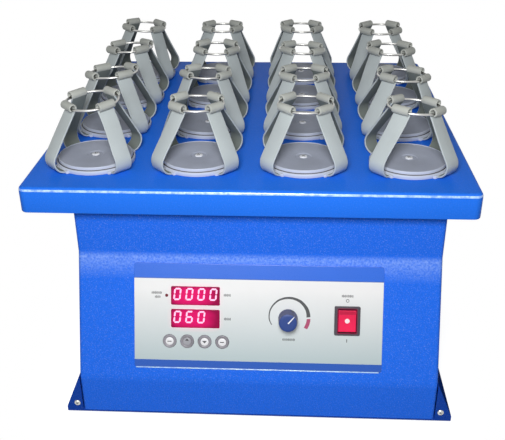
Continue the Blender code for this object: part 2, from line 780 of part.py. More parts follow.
def motor():
    """Standing on the pan, shaft up."""
    at = (motor_x, MOTOR_Y)
    flange = rod(MOTOR_FLANGE_RADIUS, motor_bottom, motor_bottom + MOTOR_FLANGE_HEIGHT, at)
    can = rod(MOTOR_RADIUS, motor_bottom + MOTOR_FLANGE_HEIGHT / 2, motor_top, at)
    shaft = rod(MOTOR_SHAFT_RADIUS, motor_top - OVERRUN, pulley_top, at, SMALL_SEGMENTS)
    part("motor", flange, cast_iron, case_axis, joined=[can, shaft], smooth=True)


def drive_belt():
    pitch = (motor_x, MOTOR_Y)
    radii = (DRIVEN_PULLEY_RADIUS + GAP, MOTOR_PULLEY_RADIUS + GAP)
    inner = stadium((0.0, 0.0), pitch, *radii, BELT_STEPS)
    outside = GAP + BELT_THICKNESS
    radii = (DRIVEN_PULLEY_RADIUS + outside, MOTOR_PULLEY_RADIUS + outside)
    outer = stadium((0.0, 0.0), pitch, *radii, BELT_STEPS)
    middle = Matrix.Translation((0.0, 0.0, (pulley_bottom + pulley_top) / 2))
    part("drive_belt", moved(plate([outer, inner], BELT_HEIGHT), middle), belt_black, case_axis)


def control_panel():
    half_x = PANEL_WIDTH / 2
    low = (-half_x, PANEL_RISE - PANEL_HEIGHT / 2, GAP)
    high = (half_x, PANEL_RISE + PANEL_HEIGHT / 2, panel_face)
    sheet = block(low, high)
    rounded_box_edges(sheet, PANEL_CORNER_RADIUS, 2, lambda a, b: abs(a.z - b.z) > PANEL_THICKNESS / 2)
    part("control_panel", sheet, panel_grey, console, cut=panel_openings(CASE_SHEET))


def display_module():
    """Two windows on one board behind the sheet."""
    rear = -(CASE_SHEET + GAP)
    low_row = DISPLAY_UPPER_Y - DISPLAY_PITCH
    edge_x = DISPLAY_WIDTH / 2 + DISPLAY_BOARD_MARGIN
    edge_y = DISPLAY_HEIGHT / 2 + DISPLAY_BOARD_MARGIN
    low = (DISPLAY_X - edge_x, low_row - edge_y, rear - DISPLAY_BOARD_THICKNESS)
    high = (DISPLAY_X + edge_x, DISPLAY_UPPER_Y + edge_y, rear)
    windows = []
    for y in (DISPLAY_UPPER_Y, low_row):
        corner = (DISPLAY_X - DISPLAY_WIDTH / 2, y - DISPLAY_HEIGHT / 2, rear - DISPLAY_BOARD_THICKNESS / 2)
        other = (DISPLAY_X + DISPLAY_WIDTH / 2, y + DISPLAY_HEIGHT / 2, panel_face + DISPLAY_PROUD)
        windows.append(block(corner, other))
    part("display_module", block(low, high), display_red, console, joined=windows)


def keys():
    for index in range(KEY_COUNT):
        at = (KEY_FIRST_X + index * KEY_PITCH, KEY_Y, 0.0)
        cap = rod(KEY_RADIUS, -KEY_STEM, panel_face + KEY_PROUD, segments=SMALL_SEGMENTS)
        part(f"key_{index + 1}", cap, key_silver, console, at, smooth=True)


def speed_knob():
    """A tapered cap on its shaft, with a raised pointer."""
    foot = panel_face + GAP
    top = foot + KNOB_HEIGHT
    cap = rod(KNOB_RADIUS, foot, top, top_radius=KNOB_TOP_RADIUS)
    stem = rod(KNOB_SHAFT_RADIUS, -KNOB_SHAFT_LENGTH, foot + KNOB_HEIGHT / 2, segments=SMALL_SEGMENTS)
    mark = block(
        (-KNOB_POINTER_WIDTH / 2, 0.0, foot + KNOB_HEIGHT / 2),
        (KNOB_POINTER_WIDTH / 2, KNOB_TOP_RADIUS - KNOB_POINTER_WIDTH, top + KNOB_POINTER_RISE),
    )
    moved(mark, Matrix.Rotation(KNOB_POINTER_TURN, 4, "Z"))
    part("speed_knob", cap, knob_slate, console, (KNOB_X, KNOB_Y, 0.0), joined=[stem, mark], smooth=True)


def mains_switch():
    """The framed switch body, and the rocker that tips in it."""
    foot = panel_face + GAP
    face = foot + SWITCH_BEZEL
    body_x = SWITCH_WIDTH / 2 - SWITCH_BODY_MARGIN
    body_y = SWITCH_HEIGHT / 2 - SWITCH_BODY_MARGIN
    bezel = box((SWITCH_WIDTH, SWITCH_HEIGHT, SWITCH_BEZEL), (0.0, 0.0, foot + SWITCH_BEZEL / 2))
    body = block((-body_x, -body_y, -SWITCH_BODY_DEPTH), (body_x, body_y, face - SWITCH_BEZEL / 2))
    pivot = face - ROCKER_PIVOT_DEPTH
    well_x = ROCKER_WIDTH / 2 + ROCKER_SIDE_GAP
    well_y = ROCKER_HEIGHT / 2 + ROCKER_END_GAP
    well_floor = pivot - ROCKER_DEPTH - ROCKER_CROWN
    well = block((-well_x, -well_y, well_floor), (well_x, well_y, face + OVERRUN))
    at = (SWITCH_X, SWITCH_Y, 0.0)
    part("switch_body", bezel, switch_black, console, at, joined=[body], cut=[well])
    half = ROCKER_HEIGHT / 2
    crest = ROCKER_CROWN
    outline = [
        (half, 0.0),
        (half, crest),
        (0.0, ROCKER_CROWN / 2),
        (-half, crest),
        (-half, 0.0),
        (0.0, -ROCKER_DEPTH),
    ]
    rocker = upright(plate([outline], ROCKER_WIDTH))
    moved(rocker, Matrix.Rotation(math.radians(90), 4, "Z"))
    tipped = part("switch_rocker", rocker, rocker_red, console, (SWITCH_X, SWITCH_Y, pivot))
    tipped.rotation_euler = (ROCKER_TILT, 0.0, 0.0)


def power_inlet():
    """A socket for a lead, flanged on the rear panel."""
    outside = back_y + GAP
    at = (inlet_x, 0.0, case_bottom + INLET_HEIGHT_ON_PANEL)
    half_x = INLET_FLANGE_WIDTH / 2
    half_z = INLET_FLANGE_HEIGHT / 2
    flange = block((-half_x, outside, -half_z), (half_x, outside + INLET_FLANGE_THICKNESS, half_z))
    body_x = INLET_BODY_WIDTH / 2
    body_z = INLET_BODY_HEIGHT / 2
    deep = outside + INLET_FLANGE_THICKNESS - INLET_BODY_DEPTH
    body = block((-body_x, deep, -body_z), (body_x, outside + INLET_FLANGE_THICKNESS / 2, body_z))
    socket_x = INLET_SOCKET_WIDTH / 2
    socket_z = INLET_SOCKET_HEIGHT / 2
    mouth = outside + INLET_FLANGE_THICKNESS
    floor = mouth - INLET_SOCKET_DEPTH
    socket = block((-socket_x, floor, -socket_z), (socket_x, mouth + OVERRUN, socket_z))
    inlet = part("power_inlet", flange, switch_black, case_axis, at, joined=[body], cut=[socket])
    pins = []
    for index in (-1, 0, 1):
        x = index * INLET_PIN_SPREAD
        z = INLET_EARTH_RISE * (1 - abs(index)) - INLET_EARTH_RISE / 2
        low = (x - INLET_PIN_WIDTH / 2, floor - INLET_PIN_WIDTH, z - INLET_PIN_HEIGHT / 2)
        high = (x + INLET_PIN_WIDTH / 2, floor + INLET_PIN_LENGTH, z + INLET_PIN_HEIGHT / 2)
        pins.append(block(low, high))
    combine(inlet, pins, "UNION")


case_shell()
rear_panel()
base_pan()
rubber_foot("rubber_foot_left", -1)
rubber_foot("rubber_foot_right", 1)
drive_plate()
bearing_housing()
cranks()
counterweight()
pulley("driven_pulley", (0.0, 0.0, 0.0), DRIVEN_PULLEY_RADIUS, SHAFT_RADIUS + GAP, drive_axis)
motor()
pulley("motor_pulley", (motor_x, MOTOR_Y, 0.0), MOTOR_PULLEY_RADIUS, MOTOR_SHAFT_RADIUS + GAP, case_axis)
drive_belt()
control_panel()
display_module()
keys()
speed_knob()
mains_switch()
power_inlet()
platform_tray()
platform_frame()
clips()
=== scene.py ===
"""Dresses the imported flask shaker: paint, strap clips, wire rings, control panel, and the stage."""

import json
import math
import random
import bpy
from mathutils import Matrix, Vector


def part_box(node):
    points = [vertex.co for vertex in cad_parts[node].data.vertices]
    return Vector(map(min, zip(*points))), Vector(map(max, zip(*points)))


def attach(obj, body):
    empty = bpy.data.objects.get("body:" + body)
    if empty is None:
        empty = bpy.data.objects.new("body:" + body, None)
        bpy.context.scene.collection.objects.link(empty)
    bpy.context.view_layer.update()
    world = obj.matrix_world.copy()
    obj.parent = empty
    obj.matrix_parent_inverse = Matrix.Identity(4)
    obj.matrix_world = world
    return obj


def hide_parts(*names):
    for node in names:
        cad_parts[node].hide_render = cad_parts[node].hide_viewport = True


bl_info = {
    "name": "Flask Shaker Dresser",
    "version": (1, 0, 0),
    "blender": (4, 5, 0),
    "location": "View3D > Sidebar > Shaker",
    "description": "Builds the finished look of an orbital flask shaker round its packed model",
    "category": "Object",
}

import bmesh
import bpy
from bpy.props import FloatProperty, FloatVectorProperty, IntProperty, PointerProperty, StringProperty
from mathutils import Matrix, Vector

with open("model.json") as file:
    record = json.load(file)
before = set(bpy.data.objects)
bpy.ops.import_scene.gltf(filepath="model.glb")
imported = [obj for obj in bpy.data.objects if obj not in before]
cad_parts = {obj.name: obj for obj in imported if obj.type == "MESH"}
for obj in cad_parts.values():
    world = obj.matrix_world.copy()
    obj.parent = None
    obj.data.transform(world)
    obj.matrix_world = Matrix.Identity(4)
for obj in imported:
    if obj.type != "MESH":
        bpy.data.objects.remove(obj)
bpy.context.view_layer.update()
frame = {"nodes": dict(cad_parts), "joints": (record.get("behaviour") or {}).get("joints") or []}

RIGHT = Vector((1.0, 0.0, 0.0))
CLIP_COUNT = 16
KEY_COUNT = 4
CLIP_ARMS = 4


def joint(name):
    return next(row for row in frame["joints"] if row["name"] == name)


def console_frame():
    """Right, up and out of the sloping console, from the middle of the panel's front face."""
    out = Vector(joint("speed_turn")["axis"]).normalized()
    turn = Matrix((RIGHT, out.cross(RIGHT), out)).transposed().to_4x4()
    back = turn.inverted()
    spots = [back @ vertex.co for vertex in frame["nodes"]["control_panel"].data.vertices]
    middle = [(min(s[i] for s in spots) + max(s[i] for s in spots)) / 2 for i in range(2)]
    return turn @ Matrix.Translation((*middle, max(s.z for s in spots)))


CONSOLE = console_frame()
TO_CONSOLE = CONSOLE.inverted()


def console_box(node):
    """Lowest and highest corner of a CAD node in the console's own frame."""
    spots = [TO_CONSOLE @ vertex.co for vertex in frame["nodes"][node].data.vertices]
    low = Vector([min(spot[i] for spot in spots) for i in range(3)])
    high = Vector([max(spot[i] for spot in spots) for i in range(3)])
    return low, high


def size(name, default, description):
    return FloatProperty(name=name, default=default, description=description, unit="LENGTH", precision=5)


def colour(name, red, green, blue, description):
    """A colour property. The default is written as eight-bit sRGB and kept linear."""
    shares = [value / 255 for value in (red, green, blue)]
    default = [s / 12.92 if s <= 0.04045 else ((s + 0.055) / 1.055) ** 2.4 for s in shares]
    return FloatVectorProperty(
        name=name, default=default, size=3, min=0.0, max=1.0, subtype="COLOR", description=description
    )


class ShakerSizes(bpy.types.PropertyGroup):
    """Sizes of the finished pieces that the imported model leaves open."""

    sheet: size("Sheet", 0.002, "Thickness of the folded steel sheet")
    tray_corner: size("Tray corner", 0.008, "Radius of the tray's upright corners")
    tray_edge: size("Tray edge", 0.004, "Radius of the tray's top edge")
    fold: size("Case fold", 0.004, "Outer radius of the folds in the case")
    strap_width: size("Strap width", 0.019, "Width of a clip's strap arm")
    strap: size("Strap", 0.0018, "Thickness of a clip's strap arm")
    strap_round: size("Strap edge", 0.00065, "Radius along the strap's edges")
    belly: size("Belly", 0.055, "Furthest reach of an arm from the clip's middle")
    arm_bend: size("Arm bend", 0.013, "Radius at which an arm turns up from the tray")
    bore: size("Sleeve bore", 0.0026, "Radius of the rolled sleeve's hollow")
    ring: size("Ring", 0.0282, "Radius of the wire ring")
    wire: size("Wire", 0.0014, "Radius of the ring's wire")
    ring_height: size("Ring height", 0.0651, "Height of the ring over the clip's underside")
    disc: size("Disc", 0.042, "Radius of the clip's disc")
    pad: size("Pad", 0.0395, "Radius of the pad on the disc")
    window_width: size("Window width", 0.0522, "Width of a display window")
    window_height: size("Window height", 0.0202, "Height of a display window")
    digit_width: size("Digit width", 0.0094, "Width of a lit digit")
    digit_height: size("Digit height", 0.0134, "Height of a lit digit")
    digit_pitch: size("Digit pitch", 0.0128, "Distance from one digit to the next")
    knob: size("Knob", 0.0103, "Radius of the speed knob at its foot")


class ShakerLooks(bpy.types.PropertyGroup):
    """Colours, and what the two displays show."""

    case: colour("Case paint", 36, 105, 226, "Textured enamel of the case")
    tray: colour("Tray paint", 38, 116, 236, "Glossy enamel of the tray")
    # Base paint is darker than the case's blue; the darkness is partly painted shade for the set-back webs.
    pan: colour("Base paint", 22, 66, 160, "Enamel of the base and its flared sides")
    strap: colour("Clip coat", 180, 188, 189, "Coating of the strap arms")
    # Clip inside is painted shade: a darker colour for the inner faces of the straps, where little light falls.
    strap_inner_shade: colour("Clip inside", 122, 129, 125, "Inner side of the strap arms, soiled by the flasks")
    sleeve: colour("Clip sleeve", 177, 180, 174, "Rolled ends of the strap arms, rubbed by the wire")
    clip_disc: colour("Clip disc", 190, 197, 212, "Disc and lip of the clip")
    pad: colour("Pad", 166, 172, 188, "Mat that a flask stands on")
    plate: colour("Panel", 228, 228, 227, "Printed face of the control panel")
    band: colour("Panel band", 28, 98, 208, "Printed bands over and under the face")
    ink: colour("Ink", 62, 64, 66, "Printed scale and marks")
    red_ink: colour("Red ink", 160, 62, 98, "Red end of the speed scale")
    window: colour("Window", 204, 22, 96, "Display window")
    digit: colour("Digit", 255, 190, 224, "Lit digit")
    knob: colour("Knob", 42, 66, 128, "Speed knob")
    skirt: colour("Knob skirt", 82, 86, 118, "Gripped wall of the speed knob")
    rocker: colour("Rocker", 236, 34, 84, "Mains rocker")
    upper_text: StringProperty(name="Upper display", default="0000", description="Digits of the upper display")
    lower_text: StringProperty(name="Lower display", default="060", description="Digits of the lower display")
    seed: IntProperty(name="Seed", default=7, description="Picks how each clip is bent a little differently")


# How each clip is bent: its ring's shift in mm, its slope across and back, and the turn of its four sleeves.
BENT = (
    (1.5, 0.3, 1.4, 0.04, 0.04, 0.09, 0.03, -0.02, 0.01),
    (-0.1, 0.0, -0.4, -0.02, -0.04, 0.06, 0.08, 0.09, 0.07),
    (1.0, -0.1, -0.5, -0.01, -0.01, -0.07, 0.01, -0.02, -0.03),
    (1.4, -0.2, -1.8, -0.06, -0.06, 0.00, -0.05, 0.11, 0.04),
    (1.5, 0.1, 0.4, 0.05, -0.06, 0.04, -0.11, -0.04, -0.06),
    (-0.5, -0.1, 0.4, -0.02, -0.08, 0.05, -0.08, -0.13, 0.13),
    (0.8, 0.1, 0.1, 0.00, -0.04, 0.07, -0.04, 0.04, 0.00),
    (1.6, -0.1, -0.5, -0.03, -0.04, 0.10, -0.04, 0.03, 0.11),
    (2.2, 0.3, 2.1, 0.04, -0.04, 0.05, 0.01, 0.06, -0.06),
    (1.9, 0.2, 1.6, -0.01, 0.00, 0.11, 0.00, 0.01, 0.08),
    (-0.9, 0.2, 1.2, -0.03, -0.06, 0.07, -0.10, 0.04, -0.04),
    (-1.5, 0.1, 1.9, -0.01, -0.01, -0.06, -0.03, -0.08, 0.04),
    (2.8, 0.3, 3.9, -0.06, -0.01, 0.03, 0.01, 0.01, 0.08),
    (0.8, 0.2, 2.9, 0.00, -0.04, 0.09, 0.08, 0.07, 0.09),
    (-0.9, 0.1, 3.6, -0.01, -0.02, -0.01, 0.05, 0.00, 0.08),
    (-3.8, 0.3, 2.0, 0.01, 0.01, 0.01, -0.04, -0.03, -0.02),
)


# ---------------------------------------------------------------- shapes


class Shape:
    """Points and faces of a piece while it is made. Each face has the number of its finish."""

    def __init__(self):
        self.points = []
        self.faces = []
        self.picks = []

    def add(self, points, faces, finish=0, place=None):
        first = len(self.points)
        place = place or Matrix.Identity(4)
        self.points += [place @ Vector(point) for point in points]
        self.faces += [[first + index for index in face] for face in faces]
        self.picks += [finish] * len(faces)

    def loft(self, rings, finish=0, looped=False, place=None):
        """Joins each ring of points to the next, and closes the ends unless the rings make a loop."""
        count = len(rings[0])
        faces = []
        for band in range(len(rings) if looped else len(rings) - 1):
            here = band * count
            there = (band + 1) % len(rings) * count
            for i in range(count):
                j = (i + 1) % count
                faces.append((here + i, here + j, there + j, there + i))
        if not looped:
            faces.append(tuple(reversed(range(count))))
            faces.append(tuple(range((len(rings) - 1) * count, len(rings) * count)))
        self.add([point for ring in rings for point in ring], faces, finish, place)

    def turn(self, profile, steps, finish=0, place=None):
        """A solid of revolution about Z from (radius, height) points, from its foot to its top."""
        rings = []
        for radius, height in profile:
            turns = [math.tau * i / steps for i in range(steps)]
            rings.append([(radius * math.cos(t), radius * math.sin(t), height) for t in turns])
        self.loft(rings, finish, place=place)

    def tube(self, path, radius, sides, finish=0, looped=False):
        """A round bar along a path."""
        path = [Vector(point) for point in path]
        rings = []
        side = None
        for i, point in enumerate(path):
            before = path[i - 1] if looped or i else point
            after = path[(i + 1) % len(path)] if looped or i + 1 < len(path) else point
            along = (after - before).normalized()
            guess = side or along.orthogonal()
            side = (guess - along * guess.dot(along)).normalized()
            other = along.cross(side)
            turns = [math.tau * k / sides for k in range(sides)]
            rings.append([point + radius * (math.cos(t) * side + math.sin(t) * other) for t in turns])
        self.loft(rings, finish, looped)

    def slab(self, outline, low, high, edge, steps=4, finish=0, place=None):
        """An upright slab with a rounded upper edge. outline(inset) gives its (x, y) points."""
        levels = [(0.0, low), (0.0, high - edge)]
        for i in range(1, steps + 1):
            turn = math.pi / 2 * i / steps
            levels.append((edge * (1 - math.cos(turn)), high - edge + edge * math.sin(turn)))
        levels.append((edge * 1.4, high))
        rings = [[(x, y, height) for x, y in outline(inset)] for inset, height in levels]
        self.loft(rings, finish, place=place)

    def block(self, low, high, finish=0, place=None):
        corners = [(x, y, z) for z in (low[2], high[2]) for x, y in ((0, 0), (1, 0), (1, 1), (0, 1))]
        points = [(low[0] + (high[0] - low[0]) * x, low[1] + (high[1] - low[1]) * y, z) for x, y, z in corners]
        faces = [(3, 2, 1, 0), (4, 5, 6, 7), (0, 1, 5, 4), (1, 2, 6, 5), (2, 3, 7, 6), (3, 0, 4, 7)]
        self.add(points, faces, finish, place)

    def mesh(self, name):
        made = bpy.data.meshes.new(name)
        made.from_pydata(self.points, [], self.faces)
        made.polygons.foreach_set("material_index", self.picks)
        work = bmesh.new()
        work.from_mesh(made)
        bmesh.ops.recalc_face_normals(work, faces=work.faces)
        work.to_mesh(made)
        work.free()
        return made


def rectangle(width, height, radius, steps=6, centre=(0.0, 0.0)):
    """outline(inset) of a rectangle with round corners."""

    def outline(inset):
        points = []
        corner = max(radius - inset, radius * 0.05)
        for index, (sx, sy) in enumerate(((1, 1), (-1, 1), (-1, -1), (1, -1))):
            x = centre[0] + sx * (width / 2 - inset - corner)
            y = centre[1] + sy * (height / 2 - inset - corner)
            for step in range(steps + 1):
                turn = math.pi / 2 * (index + step / steps)
                points.append((x + corner * math.cos(turn), y + corner * math.sin(turn)))
        return points

    return outline


def disc(radius, steps=48, centre=(0.0, 0.0)):
    """outline(inset) of a circle."""

    def outline(inset):
        turns = [math.tau * i / steps for i in range(steps)]
        return [(centre[0] + (radius - inset) * math.cos(t), centre[1] + (radius - inset) * math.sin(t)) for t in turns]

    return outline


def arc(centre, radius, start, end, steps):
    turns = [start + (end - start) * i / steps for i in range(steps + 1)]
    return [(centre[0] + radius * math.cos(t), centre[1] + radius * math.sin(t)) for t in turns]


def soften(mesh, radius, steps=3, angle=35.0):
    """Rounds every edge that turns by more than the angle."""
    work = bmesh.new()
    work.from_mesh(mesh)
    bmesh.ops.remove_doubles(work, verts=work.verts, dist=1e-6)
    bmesh.ops.dissolve_limit(work, angle_limit=math.radians(1), verts=work.verts, edges=work.edges)
    sharp = [e for e in work.edges if len(e.link_faces) == 2 and e.calc_face_angle() > math.radians(angle)]
    bmesh.ops.bevel(work, geom=sharp, offset=radius, segments=steps, profile=0.5, affect="EDGES", clamp_overlap=True)
    work.to_mesh(mesh)
    work.free()
    return mesh


def cut(mesh, cutters):
    """The mesh less each cutter."""
    for number, cutter in enumerate(cutters):
        holder = bpy.data.objects.new("holder", mesh)
        tool = bpy.data.objects.new("tool", cutter)
        for obj in (holder, tool):
            bpy.context.scene.collection.objects.link(obj)
        step = holder.modifiers.new(f"cut_{number}", "BOOLEAN")
        step.operation = "DIFFERENCE"
        step.solver = "EXACT"
        step.object = tool
        bpy.context.view_layer.update()
        graph = bpy.context.evaluated_depsgraph_get()
        mesh = bpy.data.meshes.new_from_object(holder.evaluated_get(graph))
        bpy.data.objects.remove(holder)
        bpy.data.objects.remove(tool)
    return mesh


def piece(name, mesh, finishes, body, replaces=(), place=None, level=False):
    """Puts a made mesh in the scene as one piece that rides on a body."""
    obj = bpy.data.objects.new(name, mesh)
    mesh.name = name
    bpy.context.scene.collection.objects.link(obj)
    if place is not None:
        obj.matrix_world = place
    for made in finishes:
        mesh.materials.append(made)
    mesh.shade_smooth()
    mesh.set_sharp_from_angle(angle=math.radians(38))
    if level:
        weigh = obj.modifiers.new("level", "WEIGHTED_NORMAL")
        weigh.keep_sharp = True
    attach(obj, body)
    if replaces:
        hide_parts(*replaces)
    return obj


def paint_node(node, made, edge=0.0):
    """Gives a CAD node that stays in view its finish and, if asked, rounded edges."""
    obj = frame["nodes"][node]
    obj.data.materials.clear()
    obj.data.materials.append(made)
    if edge:
        join = obj.modifiers.new("join", "WELD")
        join.merge_threshold = 1e-5
        round_off = obj.modifiers.new("round", "BEVEL")
        round_off.width = edge
        round_off.segments = 2
        round_off.limit_method = "ANGLE"
        round_off.angle_limit = math.radians(35)
        round_off.harden_normals = False
        weigh = obj.modifiers.new("level", "WEIGHTED_NORMAL")
        weigh.keep_sharp = True


# ---------------------------------------------------------------- finishes


class Recipe:
    """A material's nodes round one Principled shader, set out in the part's own coordinates."""

    def __init__(self, name):
        self.material = bpy.data.materials.new(name)
        self.material.use_nodes = True
        self.tree = self.material.node_tree
        self.shader = self.tree.nodes["Principled BSDF"]
        self.spot = self.add("TexCoord").outputs["Object"]

    def add(self, kind, links=None, **settings):
        """One node. links gives its sockets a value or another node's socket."""
        node = self.tree.nodes.new("ShaderNode" + kind)
        for key, value in settings.items():
            setattr(node, key, value)
        for key, value in (links or {}).items():
            self.feed(node.inputs[key], value)
        return node

    def feed(self, socket, value):
        if isinstance(value, bpy.types.NodeSocket):
            self.tree.links.new(value, socket)
        else:
            socket.default_value = value

    def set(self, **values):
        """Shader sockets by name, with _ for a space."""
        for key, value in values.items():
            self.feed(self.shader.inputs[key.replace("_", " ")], value)
        return self

    def noise(self, scale, detail=2.0, stretch=None, roughness=0.5):
        spot = self.spot
        if stretch:
            spot = self.add("Mapping", {"Vector": spot, "Scale": stretch}).outputs["Vector"]
        links = {"Vector": spot, "Scale": scale, "Detail": detail, "Roughness": roughness}
        return self.add("TexNoise", links).outputs["Fac"]

    def cells(self, scale):
        return self.add("TexVoronoi", {"Vector": self.spot, "Scale": scale}).outputs["Distance"]

    def ramp(self, fac, low, high, to_low=0.0, to_high=1.0):
        links = {"Value": fac, "From Min": low, "From Max": high, "To Min": to_low, "To Max": to_high}
        return self.add("MapRange", links).outputs["Result"]

    def mix(self, fac, first, second):
        node = self.add("Mix", data_type="RGBA", clamp_factor=True)
        self.feed(node.inputs["Factor"], fac)
        self.feed(node.inputs[6], first)
        self.feed(node.inputs[7], second)
        return node.outputs[2]

    def sum(self, first, second, operation="ADD"):
        node = self.add("Math", operation=operation)
        self.feed(node.inputs[0], first)
        self.feed(node.inputs[1], second)
        return node.outputs[0]

    def nearness(self, centres, reach, limit, most):
        """Rises from nothing to most towards the middles of rounded oblongs of half sizes reach."""
        axes = self.add("SeparateXYZ", {"Vector": self.spot})
        near = None
        for x, y in centres:
            dx = self.sum(self.sum(axes.outputs["X"], x, "SUBTRACT"), reach[0], "DIVIDE")
            dy = self.sum(self.sum(axes.outputs["Y"], y, "SUBTRACT"), reach[1], "DIVIDE")
            away = self.sum(self.sum(dx, 4.0, "POWER"), self.sum(dy, 4.0, "POWER"))
            spot = self.ramp(away, limit, 0.0, 0.0, most)
            near = spot if near is None else self.sum(near, spot, "MAXIMUM")
        return near

    def bump(self, height, strength, distance):
        links = {"Height": height, "Strength": strength, "Distance": distance}
        self.feed(self.shader.inputs["Normal"], self.add("Bump", links).outputs["Normal"])
        return self


def tint(base, share):
    """The colour made lighter, or darker where the share is under one."""
    return tuple(min(1.0, value * share) for value in base) + (1.0,)


def toward(base, other, share):
    return tuple(a + (b - a) * share for a, b in zip(base, other)) + (1.0,)


def kept(make):
    """Makes each finish once."""

    def again(name, *args, **kwargs):
        return bpy.data.materials.get(name) or make(name, *args, **kwargs)

    return again


@kept
def enamel(name, base, roughness, grain, fleck, coat, gloss=0.03, bands=()):
    """Stoved enamel: an uneven hammered skin with pale flecks, under a gloss coat.

    bands are (start, middle, end, share, front): a painted sheen, a paler stretch broken by noise that peaks at the
    middle height, on what lies nearer than front."""
    look = Recipe(name)
    fine = look.noise(620.0, 3.0)
    broad = look.noise(5.0, 3.0)
    body = look.mix(look.ramp(fine, 0.3, 0.7), tint(base, 1.0 - grain), tint(base, 1.0 + grain))
    body = look.mix(look.ramp(broad, 0.35, 0.65, 0.0, 0.35), body, tint(base, 1.07))
    flecks = look.ramp(look.noise(1100.0, 1.0), 0.60, 0.74, 0.0, fleck)
    body = look.mix(flecks, body, toward(base, (0.75, 0.85, 1.0), 0.55))
    # Each band paints a sheen: the enamel turns paler where light glances off it.
    for start, end, over, share, front in bands:
        axes = look.add("SeparateXYZ", {"Vector": look.spot}).outputs
        height = axes["Z"]
        rise = look.sum(look.ramp(height, start, end, 0.0, share), look.ramp(height, over, end, 0.0, 1.0), "MULTIPLY")
        rise = look.sum(rise, look.ramp(axes["Y"], front + 0.004, front - 0.004), "MULTIPLY")
        thick = look.sum(rise, look.ramp(look.noise(480.0, 3.0), 0.35, 0.65, 0.35, 1.25), "MULTIPLY")
        body = look.mix(thick, body, toward(base, (0.42, 0.60, 1.0), 0.75))
    look.set(Base_Color=body, Roughness=look.ramp(fine, 0.2, 0.8, roughness - 0.06, roughness + 0.08))
    look.set(Coat_Weight=coat, Coat_Roughness=0.12, Specular_IOR_Level=gloss)
    return look.bump(look.sum(fine, look.noise(210.0, 2.0)), 0.22, 0.00035).material


@kept
def fold_highlight(name, base):
    """Enamel over a fold with a painted highlight: a pale, bright line, broken by noise, where the fold catches the
    light.
    """
    look = Recipe(name)
    # Mask of the painted highlight, broken by noise.
    rubbed = look.ramp(look.noise(130.0, 4.0, (1.0, 1.0, 1.0), 0.65), 0.36, 0.58, 0.25, 1.0)
    body = look.mix(rubbed, tint(base, 1.15), toward(base, (0.62, 0.86, 1.0), 0.8))
    look.set(Base_Color=body, Roughness=look.ramp(rubbed, 0.0, 1.0, 0.34, 0.2), Coat_Weight=0.4, Coat_Roughness=0.15)
    return look.bump(look.noise(500.0), 0.2, 0.0002).material


@kept
def coated(name, base, roughness, grain=0.05, height=0.00012, wear=0.0, scale=900.0, gloss=0.25):
    """Moulded or dipped plastic: a faint skin, handling marks and a slow change of shade."""
    look = Recipe(name)
    fine = look.noise(scale, 3.0)
    broad = look.noise(38.0, 4.0)
    scuffs = look.ramp(look.noise(260.0, 6.0, (1.0, 1.0, 0.25), 0.7), 0.60, 0.72, 0.0, wear)
    body = look.mix(look.ramp(broad, 0.3, 0.7), tint(base, 1.0 - grain), tint(base, 1.0 + grain))
    body = look.mix(scuffs, body, tint(base, 1.35))
    look.set(Base_Color=body, Roughness=look.ramp(fine, 0.3, 0.7, roughness - 0.05, roughness + 0.06))
    look.set(Specular_IOR_Level=gloss)
    return look.bump(look.sum(fine, look.sum(broad, 0.6, "MULTIPLY")), 0.35, height).material


@kept
def metal(name, base, roughness, stretch=(1.0, 1.0, 1.0), scale=900.0, height=0.00005, stain=0.12):
    """Bare metal: fine marks left by drawing, turning or grinding, with a dull bloom."""
    look = Recipe(name)
    marks = look.noise(scale, 3.0, stretch)
    bloom = look.noise(60.0, 4.0)
    body = look.mix(look.ramp(bloom, 0.35, 0.75), tint(base, 1.0), tint(base, 1.0 - stain))
    look.set(Base_Color=body, Roughness=look.ramp(marks, 0.25, 0.75, roughness * 0.8, roughness * 1.3), Metallic=1.0)
    return look.bump(marks, 0.25, height).material


@kept
def printed(name, base, roughness, fade=None, span=0.1, glows=(), reach=(1.0, 1.0)):
    """Silk-screened film: a smooth satin face with a fine leather grain. fade darkens it down the slope, as painted
    shade.

    Round each middle in glows the film is faintly pink from the light of the display behind it."""
    look = Recipe(name)
    fine = look.noise(1500.0, 2.0)
    body = look.mix(look.ramp(look.noise(30.0, 3.0), 0.3, 0.7), tint(base, 0.985), tint(base, 1.015))
    if fade:
        height = look.add("SeparateXYZ", {"Vector": look.spot}).outputs["Y"]
        body = look.mix(look.ramp(height, span * 0.3, -span / 2), body, (*fade, 1.0))
    if glows:
        body = look.mix(look.nearness(glows, reach, 1.0, 0.5), body, (0.92, 0.60, 0.64, 1.0))
    look.set(Base_Color=body, Roughness=look.ramp(fine, 0.3, 0.7, roughness - 0.04, roughness + 0.05))
    return look.bump(fine, 0.12, 0.00004).material


@kept
def window_film(name, base, centres, reach):
    """Red display window: bright where the lit digits stand behind it and darker at its rim."""
    look = Recipe(name)
    axes = look.add("SeparateXYZ", {"Vector": look.spot})
    glow = look.nearness(centres, reach, 1.0, 1.0)
    blotch = look.ramp(look.noise(160.0, 2.0), 0.3, 0.7, -0.08, 0.08)
    far_end = look.ramp(axes.outputs["X"], centres[0][0] + reach[0] * 0.2, centres[0][0] + reach[0] * 0.9, 0.0, -0.55)
    fac = look.sum(look.sum(glow, blotch), far_end)
    body = look.mix(fac, tint(base, 0.42), tint(base, 1.08))
    look.set(Base_Color=body, Roughness=look.ramp(look.noise(500.0), 0.3, 0.7, 0.16, 0.24), Specular_IOR_Level=0.06)
    look.set(Coat_Weight=0.04, Coat_Roughness=0.08, Emission_Color=body, Emission_Strength=0.16)
    return look.material


@kept
def lit(name, base, strength):
    """A lit segment: even colour with a faint random change in brightness."""
    look = Recipe(name)
    body = look.mix(look.ramp(look.noise(420.0), 0.3, 0.7), tint(base, 0.96), tint(base, 1.0))
    return look.set(Base_Color=body, Roughness=0.3, Emission_Color=body, Emission_Strength=strength).material


